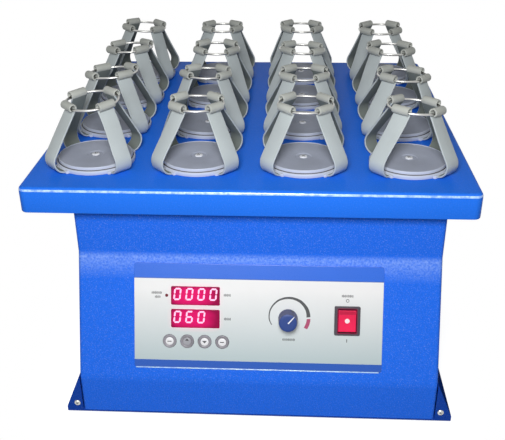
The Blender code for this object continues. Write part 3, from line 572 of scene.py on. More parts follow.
@kept
def rubber(name, base, roughness):
    look = Recipe(name)
    fine = look.noise(1300.0, 3.0)
    dust = look.ramp(look.noise(45.0, 5.0), 0.5, 0.75, 0.0, 0.35)
    body = look.mix(dust, tint(base, 1.0), toward(base, (0.35, 0.35, 0.34), 0.25))
    look.set(Base_Color=body, Roughness=look.ramp(fine, 0.3, 0.7, roughness - 0.08, roughness + 0.05))
    return look.bump(fine, 0.4, 0.0001).material


def plain_metals():
    return {
        "cast": metal("rough_casting", (0.50, 0.51, 0.52), 0.45, scale=420.0, height=0.00025),
        "turned": metal("lathe_steel", (0.56, 0.56, 0.57), 0.28, (1.0, 1.0, 6.0), 700.0),
        "plate": metal("ground_plate", (0.44, 0.44, 0.45), 0.42, (12.0, 1.0, 1.0), 300.0),
        "pulley": metal("pulley_metal", (0.60, 0.61, 0.62), 0.32, (1.0, 1.0, 8.0), 600.0),
        "zinc": metal("screw_zinc", (0.55, 0.56, 0.53), 0.30, scale=1500.0),
        "wire": metal("bright_wire", (0.50, 0.50, 0.48), 0.33, scale=1400.0, stain=0.2),
        "pins": metal("inlet_pins", (0.72, 0.62, 0.40), 0.30, (1.0, 8.0, 1.0), 900.0),
    }


# ---------------------------------------------------------------- pieces


class Maker(bpy.types.Operator):
    """Shared by every operator here."""

    bl_options = {"REGISTER", "UNDO"}

    def execute(self, context):
        self.make(context.scene.shaker_sizes, context.scene.shaker_looks)
        return {"FINISHED"}


def screw(shape, place, radius, height, finish=0, dark=1):
    """A pan head with a cross recess, standing on its seat. The recess is a thin raised cross in the finish dark,
    painted shade.
    """
    rise = [(radius * 0.98, 0.0), (radius, height * 0.25), (radius * 0.97, height * 0.5)]
    rise += [(radius * 0.86, height * 0.8), (radius * 0.62, height * 0.96), (radius * 0.3, height)]
    shape.turn(rise, 24, finish, place)
    for turn in (0.4, 0.4 + math.pi / 2):
        spin = place @ Matrix.Rotation(turn, 4, "Z")
        low = (-radius * 0.52, -radius * 0.09, height * 0.9)
        high = (radius * 0.52, radius * 0.09, height * 1.02)
        shape.block(low, high, dark, spin)


class SHAKER_OT_tray(Maker):
    """Builds the shaking tray, one sheet turned down all round"""

    bl_idname = "shaker.tray"
    bl_label = "Tray"

    def make(self, sizes, looks):
        low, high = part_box("platform_tray")
        middle = (low + high) / 2
        span = high - low
        outline = rectangle(span.x, span.y, sizes.tray_corner, 8, middle.xy)
        outer, wall, lip = sizes.tray_edge, sizes.sheet, sizes.sheet / 4
        inner = outer - wall
        shoulder = high.z - outer
        levels = [(outer * 1.5, high.z - wall)]
        folds = range(14, 17)
        steps = 8
        for i in reversed(range(steps + 1)):
            turn = math.pi / 2 * i / steps
            levels.append((wall + inner * (1 - math.cos(turn)), shoulder + inner * math.sin(turn)))
        levels += [(wall, low.z + lip), (wall - lip / 2, low.z), (lip / 2, low.z), (0.0, low.z + lip)]
        for i in range(steps + 1):
            turn = math.pi / 2 * i / steps
            levels.append((outer * (1 - math.cos(turn)), shoulder + outer * math.sin(turn)))
        levels.append((outer * 1.25, high.z))
        shape = Shape()
        rings = [[(x, y, z) for x, y in outline(inset)] for inset, z in levels]
        shape.loft(rings)
        count = len(rings[0])
        # The lower bands of the outer top fold, all round, take finish 1, the painted highlight.
        for band in folds:
            for i in range(count):
                shape.picks[band * count + i] = 1
        paint = enamel("tray_enamel", looks.tray, 0.32, 0.05, 0.10, 0.01, 0.015)
        fold = fold_highlight("tray_fold", looks.tray)
        piece("tray_sheet", shape.mesh("tray"), [paint, fold], "platform", ["platform_tray"])


class Wire:
    """One clip's ring, out of level, out of round and off centre. It hangs low in the sleeves' bores."""

    def __init__(self, number, sizes, looks):
        pick = random.Random(looks.seed * 100 + number)
        self.pick = pick
        self.sizes = sizes
        row = BENT[number - 1]
        self.shift = Vector(row[:3]) / 1000
        self.tilt = row[3:5]
        self.turns = row[5:]
        self.phase = pick.uniform(0.0, math.tau)

    def at(self, turn):
        """Middle of the wire at an angle, from the middle of the clip's underside."""
        radius = self.sizes.ring + 0.0004 * math.sin(2 * turn + self.phase)
        x, y = radius * math.cos(turn), radius * math.sin(turn)
        return self.shift + Vector((x, y, self.sizes.ring_height + x * self.tilt[0] + y * self.tilt[1]))

    def sleeve(self, turn):
        """Middle and direction of a straight sleeve through which the wire bends."""
        half = math.asin(self.sizes.strap_width / 2 / self.sizes.ring)
        first, last = self.at(turn - half), self.at(turn + half)
        play = Vector((-math.cos(turn) * 0.0006, -math.sin(turn) * 0.0006, 0.0016))
        return (self.at(turn) + (first + last) / 2) / 2 + play, (last - first).normalized()


def arm_path(sizes, belly, sleeve, bore, wrap):
    """(radius, height, share) along the middle of a strap: out, up, in, and rolled outward over the wire.

    The share goes from 0 where the strap keeps to the disc to 1 where it keeps to its sleeve."""
    half = sizes.strap / 2
    lift = 0.0005
    bend = (belly - sizes.arm_bend, lift + sizes.arm_bend)
    roll = bore + half
    inward = math.atan2(bend[0] - sleeve[0], sleeve[1] - bend[1])
    apart = math.hypot(bend[0] - sleeve[0], sleeve[1] - bend[1])
    lean = inward + math.asin((sizes.arm_bend - half + roll) / apart)
    start = lean + math.pi
    up = [(0.030, lift + half), (0.036, lift + half)] + arc(bend, sizes.arm_bend - half, -math.pi / 2, lean, 14)
    over = arc(sleeve, roll, start, start - wrap, 24)
    steps = 10
    rise = []
    for i in range(1, steps):
        share = i / steps
        spot = [a + (b - a) * share for a, b in zip(up[-1], over[0])]
        rise.append((*spot, share * share * (3 - 2 * share)))
    return [(*spot, 0.0) for spot in up] + rise + [(*spot, 1.0) for spot in over]


class SHAKER_OT_clips(Maker):
    """Builds the sixteen flask clips, each a disc and pad with four rolled strap arms"""

    bl_idname = "shaker.clips"
    bl_label = "Flask clips"

    def make(self, sizes, looks):
        coat = coated("strap_coat", looks.strap, 0.42, 0.05, wear=0.10)
        # Darker finish for the inner faces of the rising straps: painted shade.
        inner = coated("clip_inner", looks.strap_inner_shade, 0.5, 0.06, wear=0.15, gloss=0.08)
        sleeve = coated("clip_sleeve", looks.sleeve, 0.5, 0.10, wear=0.12)
        plate = coated("clip_disc", looks.clip_disc, 0.42, 0.05, wear=0.10)
        nickel = coated("clip_screw", (0.70, 0.72, 0.76), 0.3, 0.06)
        mat = coated("clip_pad", looks.pad, 0.55, 0.08, 0.0002, 0.22, 700.0)
        # Dark finish for the groove and the foot of the pad: painted shade in the crease.
        groove = coated("clip_groove", (0.13, 0.125, 0.14), 0.6, 0.1)
        for number in range(1, CLIP_COUNT + 1):
            node = f"clip_{number:02d}"
            low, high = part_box(node)
            seat = Vector(((low.x + high.x) / 2, (low.y + high.y) / 2, low.z))
            wire = Wire(number, sizes, looks)
            shape = Shape()
            self.base(shape, sizes)
            for index in range(CLIP_ARMS):
                self.arm(shape, sizes, index, wire)
            head = Matrix.Translation((0.0, 0.0, 0.0068)) @ Matrix.Rotation(wire.phase, 4, "Z")
            # The cross of the clip's screw takes the groove's painted shade.
            screw(shape, head, 0.0043, 0.0013, 2, 3)
            mesh = shape.mesh("clip")
            mesh.transform(Matrix.Translation(seat))
            piece(f"strap_clip_{number:02d}", mesh, [coat, mat, nickel, groove, inner, sleeve, plate], "platform", [node])

    def base(self, shape, sizes):
        """Disc with a rounded rim, the groove inside it, and the mat inside its raised lip."""
        rim = sizes.disc
        profile = [(rim - 0.0010, 0.0), (rim - 0.0003, 0.0002), (rim, 0.0008), (rim, 0.0034), (rim - 0.0002, 0.0040)]
        profile += [(rim - 0.0007, 0.0044), (rim - 0.0013, 0.0045), (rim - 0.0018, 0.0042), (rim - 0.0020, 0.0034)]
        profile += [(rim - 0.0060, 0.0034)]
        shape.turn(profile, 72, 6)
        groove = len(profile) - 3
        # The groove inside the rim takes the dark finish, painted shade.
        shape.picks[groove * 72 : (groove + 2) * 72] = [3] * 144
        pad = sizes.pad
        first = len(shape.picks)
        profile = [(pad - 0.0004, 0.0030), (pad, 0.0034), (pad, 0.0050), (pad, 0.0072), (pad - 0.0002, 0.0077), (pad - 0.0006, 0.0080)]
        profile += [(pad - 0.0010, 0.0080), (pad - 0.0013, 0.0078), (pad - 0.0014, 0.0060)]
        shape.turn(profile, 72, 6)
        # The foot of the pad's wall takes the same painted shade.
        shape.picks[first : first + 144] = [3] * 144
        profile = [(pad - 0.00135, 0.0050), (pad - 0.00135, 0.00755), (pad - 0.0018, 0.0075), (pad - 0.0060, 0.0075)]
        profile += [(0.0094, 0.0075), (0.0086, 0.0073), (0.0080, 0.0068), (0.0060, 0.0068)]
        shape.turn(profile, 72, 1)
        for index in range(CLIP_ARMS):
            place = Matrix.Rotation(math.tau * (index + 0.5) / CLIP_ARMS, 4, "Z")
            ear = rectangle(0.0064, sizes.strap_width + 0.0052, 0.0015, 4, (rim - 0.0022, 0.0))
            shape.slab(ear, 0.0002, 0.0031, 0.0007, 3, 6, place)

    def arm(self, shape, sizes, index, wire):
        """One strap with rounded edges, from under the disc to its sleeve round the wire."""
        pick = wire.pick
        root = math.tau * (index + 0.5) / CLIP_ARMS
        centre, axis = wire.sleeve(root + wire.turns[index])
        out = Vector((math.cos(root), math.sin(root), 0.0))
        side = Vector((-math.sin(root), math.cos(root), 0.0))
        top_out = (out - axis * out.dot(axis)).normalized()
        top_up = top_out.cross(axis)
        sleeve = (centre.dot(out), centre.z)
        belly = sizes.belly + pick.uniform(-0.0012, 0.0004)
        wrap = math.radians(pick.uniform(262, 298))
        path = arm_path(sizes, belly, sleeve, sizes.bore + pick.uniform(0.0, 0.0004), wrap)
        profile = rectangle(sizes.strap_width, sizes.strap, sizes.strap_round, 3)(0.0)
        spots = []
        for radius, height, share in path:
            low = out * radius + Vector((0.0, 0.0, height))
            high = centre + top_out * (radius - sleeve[0]) + top_up * (height - sleeve[1])
            spots.append(low.lerp(high, share))
        rings = []
        for i, spot in enumerate(spots):
            along = spots[min(i + 1, len(spots) - 1)] - spots[max(i - 1, 0)]
            across = side.lerp(axis, path[i][2]).normalized()
            thick = across.cross(along).normalized()
            rings.append([spot + across * x + thick * y for x, y in profile])
        first = len(shape.picks)
        shape.loft(rings, 0)
        sides = len(profile)
        # The inner face of each strap below its sleeve takes finish 4, the painted shade.
        inside = 3 * sides // 4 - 1
        for band, (_, _, share) in enumerate(path[:-1]):
            if share < 1.0:
                shape.picks[first + band * sides + inside] = 4
            else:
                shape.picks[first + band * sides : first + (band + 1) * sides] = [5] * sides


class SHAKER_OT_rings(Maker):
    """Builds the bright wire ring of each clip, bent a little out of true"""

    bl_idname = "shaker.rings"
    bl_label = "Wire rings"

    def make(self, sizes, looks):
        steel = plain_metals()["wire"]
        for number in range(1, CLIP_COUNT + 1):
            low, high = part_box(f"clip_{number:02d}")
            seat = Vector(((low.x + high.x) / 2, (low.y + high.y) / 2, low.z))
            wire = Wire(number, sizes, looks)
            shape = Shape()
            shape.tube([seat + wire.at(math.tau * i / 96) for i in range(96)], sizes.wire, 10, looped=True)
            ring = shape.mesh("ring")
            piece(f"wire_ring_{number:02d}", ring, [steel], "platform", [f"clip_ring_{number:02d}"])


class SHAKER_OT_case(Maker):
    """Builds the folded case cover, and finishes the back, base and feet"""

    bl_idname = "shaker.case"
    bl_label = "Case and base"

    def make(self, sizes, looks):
        low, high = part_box("case_shell")
        profile = self.outline(low, high)
        front, head = profile[2]
        # The band near the head of the console is a painted sheen.
        paint = enamel("case_enamel", looks.case, 0.38, 0.10, 0.30, 0.01, 0.03, [(head - 0.026, head - 0.004, head + 0.002, 0.48, front + 0.006)])
        work = bmesh.new()
        sides = [[work.verts.new((x, y, z)) for y, z in profile] for x in (low.x, high.x)]
        for side in sides:
            work.faces.new(side)
        for i in range(len(profile) - 2):
            work.faces.new((sides[0][i], sides[0][i + 1], sides[1][i + 1], sides[1][i]))
        bmesh.ops.recalc_face_normals(work, faces=work.faces)
        for face in work.faces:
            if face.normal.dot(face.calc_center_median() - (low + high) / 2) < 0:
                face.normal_flip()
        folds = [edge for edge in work.edges if len(edge.link_faces) == 2]
        bmesh.ops.bevel(work, geom=folds, offset=sizes.fold, segments=6, profile=0.5, affect="EDGES")
        mesh = bpy.data.meshes.new("case")
        work.to_mesh(mesh)
        work.free()
        holder = bpy.data.objects.new("holder", mesh)
        bpy.context.scene.collection.objects.link(holder)
        wall = holder.modifiers.new("wall", "SOLIDIFY")
        wall.thickness = sizes.sheet
        wall.offset = -1.0
        wall.use_even_offset = True
        bpy.context.view_layer.update()
        graph = bpy.context.evaluated_depsgraph_get()
        shell = bpy.data.meshes.new_from_object(holder.evaluated_get(graph))
        bpy.data.objects.remove(holder)
        holes = self.shaft_holes(high.z) + self.console_holes(sizes)
        piece("case_cover", cut(shell, holes), [paint], "case", ["case_shell"], level=True)
        self.back(sizes, paint)
        self.base(looks)

    def outline(self, low, high):
        """(y, z) points of the cover from the foot of its front round to the foot of its back."""
        slope = joint("speed_turn")["axis"]
        face = CONSOLE.translation
        back_off = 0.0015
        point = Vector((face.x, face.y, face.z)) - back_off * Vector(slope)
        upper_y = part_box("control_panel")[1].y
        rise = -slope[1] / slope[2]
        foot = point.z + (low.y - point.y) * rise
        edge_y = low.y + 0.0503
        head = point.z + (edge_y - point.y) * rise
        assert upper_y < edge_y
        return [(low.y, low.z), (low.y, foot), (edge_y, head), (edge_y, high.z), (high.y, high.z), (high.y, low.z)]

    def shaft_holes(self, top):
        holes = []
        for name, radius in (("drive_spin", 0.014), ("idler_spin_1", 0.0075), ("idler_spin_2", 0.0075), ("idler_spin_3", 0.0075)):
            x, y, _ = joint(name)["pos_m"]
            shape = Shape()
            shape.turn([(radius, top - 0.01), (radius, top + 0.01)], 40, place=Matrix.Translation((x, y, 0.0)))
            holes.append(shape.mesh("hole"))
        return holes

    def console_holes(self, sizes):
        """The openings behind the panel, which the panel and its pieces cover."""
        low, high = console_box("display_module")
        shape = Shape()
        shape.block((low.x + 0.002, low.y + 0.002, -0.02), (high.x - 0.002, high.y - 0.002, -0.0005), place=CONSOLE)
        low, high = console_box("switch_body")
        shape.block((low.x + 0.0015, low.y + 0.0015, -0.02), (high.x - 0.0015, high.y - 0.0015, -0.0005), place=CONSOLE)
        first, last = console_box("key_1")[0], console_box("key_4")[1]
        shape.block((first.x - 0.0005, first.y - 0.0005, -0.02), (last.x + 0.0005, last.y + 0.0005, -0.0005), place=CONSOLE)
        low, high = console_box("speed_knob")
        x, y = (low.x + high.x) / 2, (low.y + high.y) / 2
        shape.turn([(0.0034, -0.02), (0.0034, -0.0005)], 24, place=CONSOLE @ Matrix.Translation((x, y, 0.0)))
        return [shape.mesh("hole")]

    def back(self, sizes, paint):
        paint_node("rear_panel", paint, 0.0005)
        metals = plain_metals()
        low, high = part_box("rear_panel")
        shape = Shape()
        face = Matrix.Rotation(-math.pi / 2, 4, "X")
        spots = [(x, z) for z in (low.z + 0.012, (low.z + high.z) / 2, high.z - 0.012) for x in (low.x + 0.010, high.x - 0.010)]
        for x, z in spots:
            screw(shape, Matrix.Translation((x, high.y, z)) @ face, 0.0038, 0.0022)
        dark = rubber("screw_recess", (0.05, 0.05, 0.05), 0.6)
        piece("rear_screws", shape.mesh("screws"), [metals["zinc"], dark], "case")

    def base(self, looks):
        # Darker blue of the base, partly painted shade.
        pan = enamel("pan_enamel", looks.pan, 0.40, 0.10, 0.20, 0.0, 0.0)
        paint_node("base_pan", pan, 0.0006)
        metals = plain_metals()
        low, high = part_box("base_pan")
        shape = Shape()
        face = Matrix.Rotation(math.pi / 2, 4, "X")
        for x in (low.x + 0.0125, high.x - 0.0125):
            screw(shape, Matrix.Translation((x, low.y, low.z + 0.0125)) @ face, 0.0036, 0.0024)
        dark = rubber("screw_recess", (0.05, 0.05, 0.05), 0.6)
        piece("web_screws", shape.mesh("screws"), [metals["zinc"], dark], "case")
        black = rubber("sole_rubber", (0.022, 0.022, 0.022), 0.75)
        for side in ("left", "right"):
            node = f"rubber_foot_{side}"
            low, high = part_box(node)
            shape = Shape()
            outline = rectangle(high.x - low.x, high.y - low.y, 0.004, 5, ((low + high) / 2).xy)
            levels = [(0.0012, low.z), (0.0003, low.z + 0.0008), (0.0, low.z + 0.0018), (0.0, high.z - 0.0003), (0.0003, high.z)]
            shape.loft([[(x, y, z) for x, y in outline(inset)] for inset, z in levels])
            piece(f"foot_strip_{side}", shape.mesh("foot"), [black], "case", [node])


class SHAKER_OT_panel(Maker):
    """Builds the printed control panel with its bands and speed scale"""

    bl_idname = "shaker.panel"
    bl_label = "Control panel"

    def make(self, sizes, looks):
        low, high = console_box("control_panel")
        width, height = high.x - low.x, high.y - low.y
        sheet = Shape()
        sheet.slab(rectangle(width, height, 0.002, 4), low.z, 0.0, 0.0003, 2)
        holes = Shape()
        for x, y in window_centres(sizes):
            holes.slab(rectangle(sizes.window_width + 0.0006, sizes.window_height + 0.0006, 0.0019, 4, (x, y)), -0.01, 0.01, 0.0001, 1)
        for number in range(1, KEY_COUNT + 1):
            a, b = console_box(f"key_{number}")
            holes.slab(disc(0.0075, 36, ((a + b) / 2).xy), -0.01, 0.01, 0.0001, 1)
        a, b = console_box("speed_knob")
        holes.slab(disc(0.0033, 24, ((a + b) / 2).xy), -0.01, 0.01, 0.0001, 1)
        a, b = console_box("switch_body")
        holes.slab(rectangle(b.x - a.x - 0.003, b.y - a.y - 0.003, 0.0008, 3, ((a + b) / 2).xy), -0.01, 0.01, 0.0001, 1)
        mesh = cut(sheet.mesh("panel"), [holes.mesh("holes")])
        self.split(mesh, height)
        half = (sizes.window_width / 2 + 0.005, sizes.window_height / 2 + 0.005)
        # The face and the bands darken down the slope: painted shade.
        face = printed("panel_face", looks.plate, 0.32, (0.43, 0.52, 0.535), 0.10, window_centres(sizes), half)
        band = printed("panel_band", looks.band, 0.30, tint(looks.band, 0.68)[:3], 0.05)
        trim = printed("panel_trim", (0.05, 0.12, 0.42), 0.22)
        piece("panel_plate", mesh, [face, band, trim], "case", ["control_panel"], CONSOLE, True)
        self.scale(looks)
        self.bead(low, high)

    def split(self, mesh, height):
        """Parts the face where the print changes, and gives each stretch its finish."""
        top = height / 2
        marks = [top - 0.0155, top - 0.0163, top - 0.1052, -top + 0.0008]
        work = bmesh.new()
        work.from_mesh(mesh)
        for y in marks:
            whole = list(work.verts) + list(work.edges) + list(work.faces)
            bmesh.ops.bisect_plane(work, geom=whole, plane_co=(0.0, y, 0.0), plane_no=(0.0, 1.0, 0.0))
        for face in work.faces:
            y = face.calc_center_median().y
            if y > marks[0] or marks[3] < y < marks[2]:
                face.material_index = 1
            elif y > marks[1] or y <= marks[3]:
                face.material_index = 2
            else:
                face.material_index = 0
        work.to_mesh(mesh)
        work.free()

    def scale(self, looks):
        """The printed arc round the knob, widening clockwise, with its red end, then the marks of the mains switch and
        the rows of ticks.
        """
        low, high = console_box("speed_knob")
        centre = ((low + high) / 2).xy + Vector((0.0011, -0.0014))
        ink = printed("scale_ink", looks.ink, 0.4)
        red = printed("scale_red", looks.red_ink, 0.4)
        shape = Shape()
        dark = [(-107, 19.6, 0.9), (-90, 21.5, 1.1), (-60, 23.5, 1.4), (-30, 24.7, 1.8), (0, 25.0, 2.4)]
        dark += [(30, 24.8, 3.0), (60, 23.9, 3.7), (81, 22.9, 4.2)]
        self.arc_band(shape, centre, dark, 0)
        self.arc_band(shape, centre, [(86, 22.8, 4.0), (100, 22.3, 4.0), (117, 21.6, 3.9)], 1)
        piece("speed_scale", shape.mesh("scale"), [ink, red], "case", place=CONSOLE)
        marks = Shape()
        low, high = console_box("switch_body")
        x = (low.x + high.x) / 2
        for y, kind in ((high.y + 0.0058, "off"), (low.y - 0.0060, "on")):
            if kind == "off":
                turns = [math.tau * i / 28 for i in range(28)]
                rings = [[(x + r * math.cos(t), y + r * math.sin(t), z) for t in turns] for r, z in ((0.0012, 0.0), (0.0012, 0.00008), (0.0018, 0.00008), (0.0018, 0.0))]
                marks.loft(rings, looped=True)
            else:
                marks.block((x - 0.0004, y - 0.0018, 0.0), (x + 0.0004, y + 0.0018, 0.00008))
        piece("switch_marks", marks.mesh("marks"), [ink], "case", place=CONSOLE)
        self.ticks(ink)

    def ticks(self, ink):
        """Short rows of plain ticks beside the displays and the lamp and under the knob."""
        low, high = console_box("display_module")
        knob_low, knob_high = console_box("speed_knob")
        dial = (knob_low.x + knob_high.x) / 2
        switch_low, switch_high = console_box("switch_body")
        mains = (switch_low.x + switch_high.x) / 2
        rows = [(9, low.x - 0.0178, high.y - 0.0104), (5, low.x - 0.0142, high.y - 0.0148)]
        rows += [(6, high.x + 0.0014, high.y - 0.0118), (6, high.x + 0.0018, low.y + 0.0134)]
        rows += [(11, dial - 0.0056, knob_low.y - 0.0126), (10, mains - 0.0062, switch_high.y + 0.0108)]
        shape = Shape()
        for count, x, y in rows:
            for place in range(count):
                left = x + place * 0.00125
                tall = 0.0014 if place % 2 else 0.0011
                shape.block((left, y - tall, 0.0), (left + 0.0007, y + tall, 0.00008))
        piece("panel_ticks", shape.mesh("ticks"), [ink], "case", place=CONSOLE)

    def bead(self, low, high):
        """A thin pale tube along the panel's lower edge: a painted highlight for the broken bright line of light that
        this edge catches.
        """
        start, end, lowest = low.x + 0.0014, high.x - 0.0030, low.y - 0.0006
        path = [(start + (end - start) * i / 60, lowest, low.z + 0.0002) for i in range(61)]
        shape = Shape()
        shape.tube(path, 0.0009, 10)
        pale = fold_highlight("panel_bead", (0.10, 0.25, 0.75))
        piece("lower_edge_highlight", shape.mesh("bead"), [pale], "case", place=CONSOLE)

    def arc_band(self, shape, centre, stations, finish):
        """A thin raised band through (degrees clockwise from up, outer radius, width) stations, in mm."""
        rings = []
        for (a, outer_a, wide_a), (b, outer_b, wide_b) in zip(stations, stations[1:]):
            steps = 8
            for i in range(steps + (b == stations[-1][0])):
                t = i / steps
                turn = math.radians(90 - (a + (b - a) * t))
                outer = (outer_a + (outer_b - outer_a) * t) / 1000
                inner = outer - (wide_a + (wide_b - wide_a) * t) / 1000
                ray = Vector((math.cos(turn), math.sin(turn)))
                near, far = centre + inner * ray, centre + outer * ray
                rings.append([(*near, 0.0), (*near, 0.00008), (*far, 0.00008), (*far, 0.0)])
        shape.loft(rings, finish)


def window_centres(sizes):
    """Middles of the upper and lower window on the console."""
    low, high = console_box("display_module")
    margin = 0.003
    x = (low.x + high.x) / 2
    return [(x, high.y - margin - sizes.window_height / 2), (x, low.y + margin + sizes.window_height / 2)]


SEGMENTS = {"0": "abcdef", "1": "bc", "2": "abged", "3": "abgcd", "4": "fgbc", "5": "afgcd", "6": "afgedc", "7": "abc", "8": "abcdefg", "9": "abcdfg"}


def seven_bars(shape, text, corner, extent, half, face, finish, thick=0.00015):
    """The bars of one digit, from its upper left corner. half is half the width of a bar."""
    wide, tall = extent
    gap = half * 0.2
    slant = 0.11
    ends = {
        "a": ((0, 0), (1, 0)),
        "b": ((1, 0), (1, 1)),
        "c": ((1, 1), (1, 2)),
        "d": ((0, 2), (1, 2)),
        "e": ((0, 1), (0, 2)),
        "f": ((0, 0), (0, 1)),
        "g": ((0, 1), (1, 1)),
    }
    lean = tall * slant
    for bar in SEGMENTS[text]:
        (ax, ay), (bx, by) = ends[bar]
        a = Vector((ax * (wide - lean - 2 * half), -ay * (tall / 2 - half)))
        b = Vector((bx * (wide - lean - 2 * half), -by * (tall / 2 - half)))
        along = (b - a).normalized()
        across = Vector((-along.y, along.x)) * half
        a += along * gap
        b -= along * gap
        outline = [a, a + along * half - across, b - along * half - across, b, b - along * half + across, a + along * half + across]
        points = []
        for z in (face - 0.0002, face + thick):
            for spot in outline:
                y = corner[1] - half + spot.y
                points.append((corner[0] + half + spot.x + (y - corner[1] + tall) * slant, y, z))
        faces = [tuple(range(6)), tuple(range(6, 12))] + [(i, (i + 1) % 6, (i + 1) % 6 + 6, i + 6) for i in range(6)]
        shape.add(points, faces, finish)


class SHAKER_OT_displays(Maker):
    """Builds the two red windows, their slanted seven-bar digits and the indicator"""

    bl_idname = "shaker.displays"
    bl_label = "Displays"

    def make(self, sizes, looks):
        centres = window_centres(sizes)
        low, high = console_box("display_module")
        film = window_film("display_window", looks.window, centres, (sizes.window_width * 0.53, sizes.window_height * 0.55))
        glow = lit("digit_glow", looks.digit, 0.30)
        board = coated("display_board", (0.03, 0.05, 0.035), 0.5)
        lamp = coated("indicator", (0.16, 0.012, 0.025), 0.2)
        shape = Shape()
        rear = low.z
        shape.block(low, (high.x, high.y, rear + 0.006), 2)
        for (x, y), text in zip(centres, (looks.upper_text, looks.lower_text)):
            outline = rectangle(sizes.window_width, sizes.window_height, 0.0017, 4, (x, y))
            shape.slab(outline, rear + 0.005, high.z, 0.0005, 3, 0)
            left = x - sizes.window_width / 2 + 0.0022
            top = y + sizes.window_height / 2 - 0.0016
            for place, digit in enumerate(text):
                spot = (left + place * sizes.digit_pitch, top)
                seven_bars(shape, digit, spot, (sizes.digit_width, sizes.digit_height), 0.0009, high.z, 1)
        piece("display_windows", shape.mesh("display"), [film, glow, board], "case", ["display_module"], CONSOLE)
        rims = Shape()
        for x, y in centres:
            outline = rectangle(sizes.window_width + 0.0016, sizes.window_height + 0.0016, 0.0023, 4, (x, y))
            rings = [[(px, py, z) for px, py in outline(inset)] for inset, z in ((0.0, 0.00002), (0.0, 0.0001), (0.0007, 0.0001), (0.0007, 0.00002))]
            rims.loft(rings, looped=True)
        pale = printed("window_rim", (0.86, 0.70, 0.76), 0.4)
        piece("window_rims", rims.mesh("rims"), [pale], "case", place=CONSOLE)
        dot = Shape()
        x = low.x + 0.003 - 0.0047
        dot.turn([(0.0017, -0.0005), (0.0017, 0.0002), (0.0014, 0.0006), (0.0008, 0.0009)], 24, place=Matrix.Translation((x, centres[0][1], 0.0)))
        piece("indicator_lamp", dot.mesh("dot"), [lamp], "case", place=CONSOLE)


class SHAKER_OT_keys(Maker):
    """Builds the four round keys, two of them with plain arrows"""

    bl_idname = "shaker.keys"
    bl_label = "Keys"

    def make(self, sizes, looks):
        ring = coated("key_ring", (0.26, 0.25, 0.275), 0.3, 0.25, wear=0.3)
        cap = coated("key_cap", (0.78, 0.78, 0.80), 0.36, 0.03)
        worn_cap = coated("key_cap_worn", (0.36, 0.36, 0.39), 0.36, 0.12)
        ink = printed("key_ink", (0.03, 0.03, 0.035), 0.4)
        for number in range(1, KEY_COUNT + 1):
            node = f"key_{number}"
            low, high = console_box(node)
            radius = (high.x - low.x) / 2
            place = Matrix.Translation((*((low + high) / 2).xy, 0.0))
            top = high.z
            shape = Shape()
            rise = [(radius, low.z), (radius, top - 0.0007), (radius - 0.0002, top - 0.0003), (radius - 0.0006, top)]
            rise += [(radius - 0.0015, top), (radius - 0.0023, top - 0.0003), (radius - 0.0029, top - 0.0008), (radius - 0.0036, top - 0.0008)]
            shape.turn(rise, 48, 0, place)
            dome = [(0.0043, top - 0.0010), (0.0043, top - 0.0006), (0.0038, top - 0.0003), (0.0027, top - 0.0001), (0.0013, top)]
            shape.turn(dome, 48, 1, place)
            if number == 2:
                self.arrow(shape, 0.0039, 0.0026, 0.0022, 1, top, place)
            elif number == 3:
                self.arrow(shape, 0.0052, 0.0026, -0.0002, -1, top, place)
            else:
                shape.block((-0.0022, -0.0005, top - 0.0004), (0.0022, 0.0004, top + 0.00008), 2, place)
            finishes = [ring, worn_cap if number == 2 else cap, ink]
            piece(f"round_key_{number}", shape.mesh("key"), finishes, f"{node}_cap", [node], CONSOLE)

    def arrow(self, shape, wide, tall, middle, way, top, place):
        """A raised three-cornered mark that points up the panel, or down it."""
        corners = [(-wide / 2, -tall / 2 * way), (wide / 2, -tall / 2 * way), (0.0, tall / 2 * way)]
        points = [(x, y + middle, z) for z in (top - 0.0004, top + 0.0001) for x, y in corners]
        shape.add(points, [(0, 1, 2), (3, 4, 5), (0, 1, 4, 3), (1, 2, 5, 4), (2, 0, 3, 5)], 2, place)


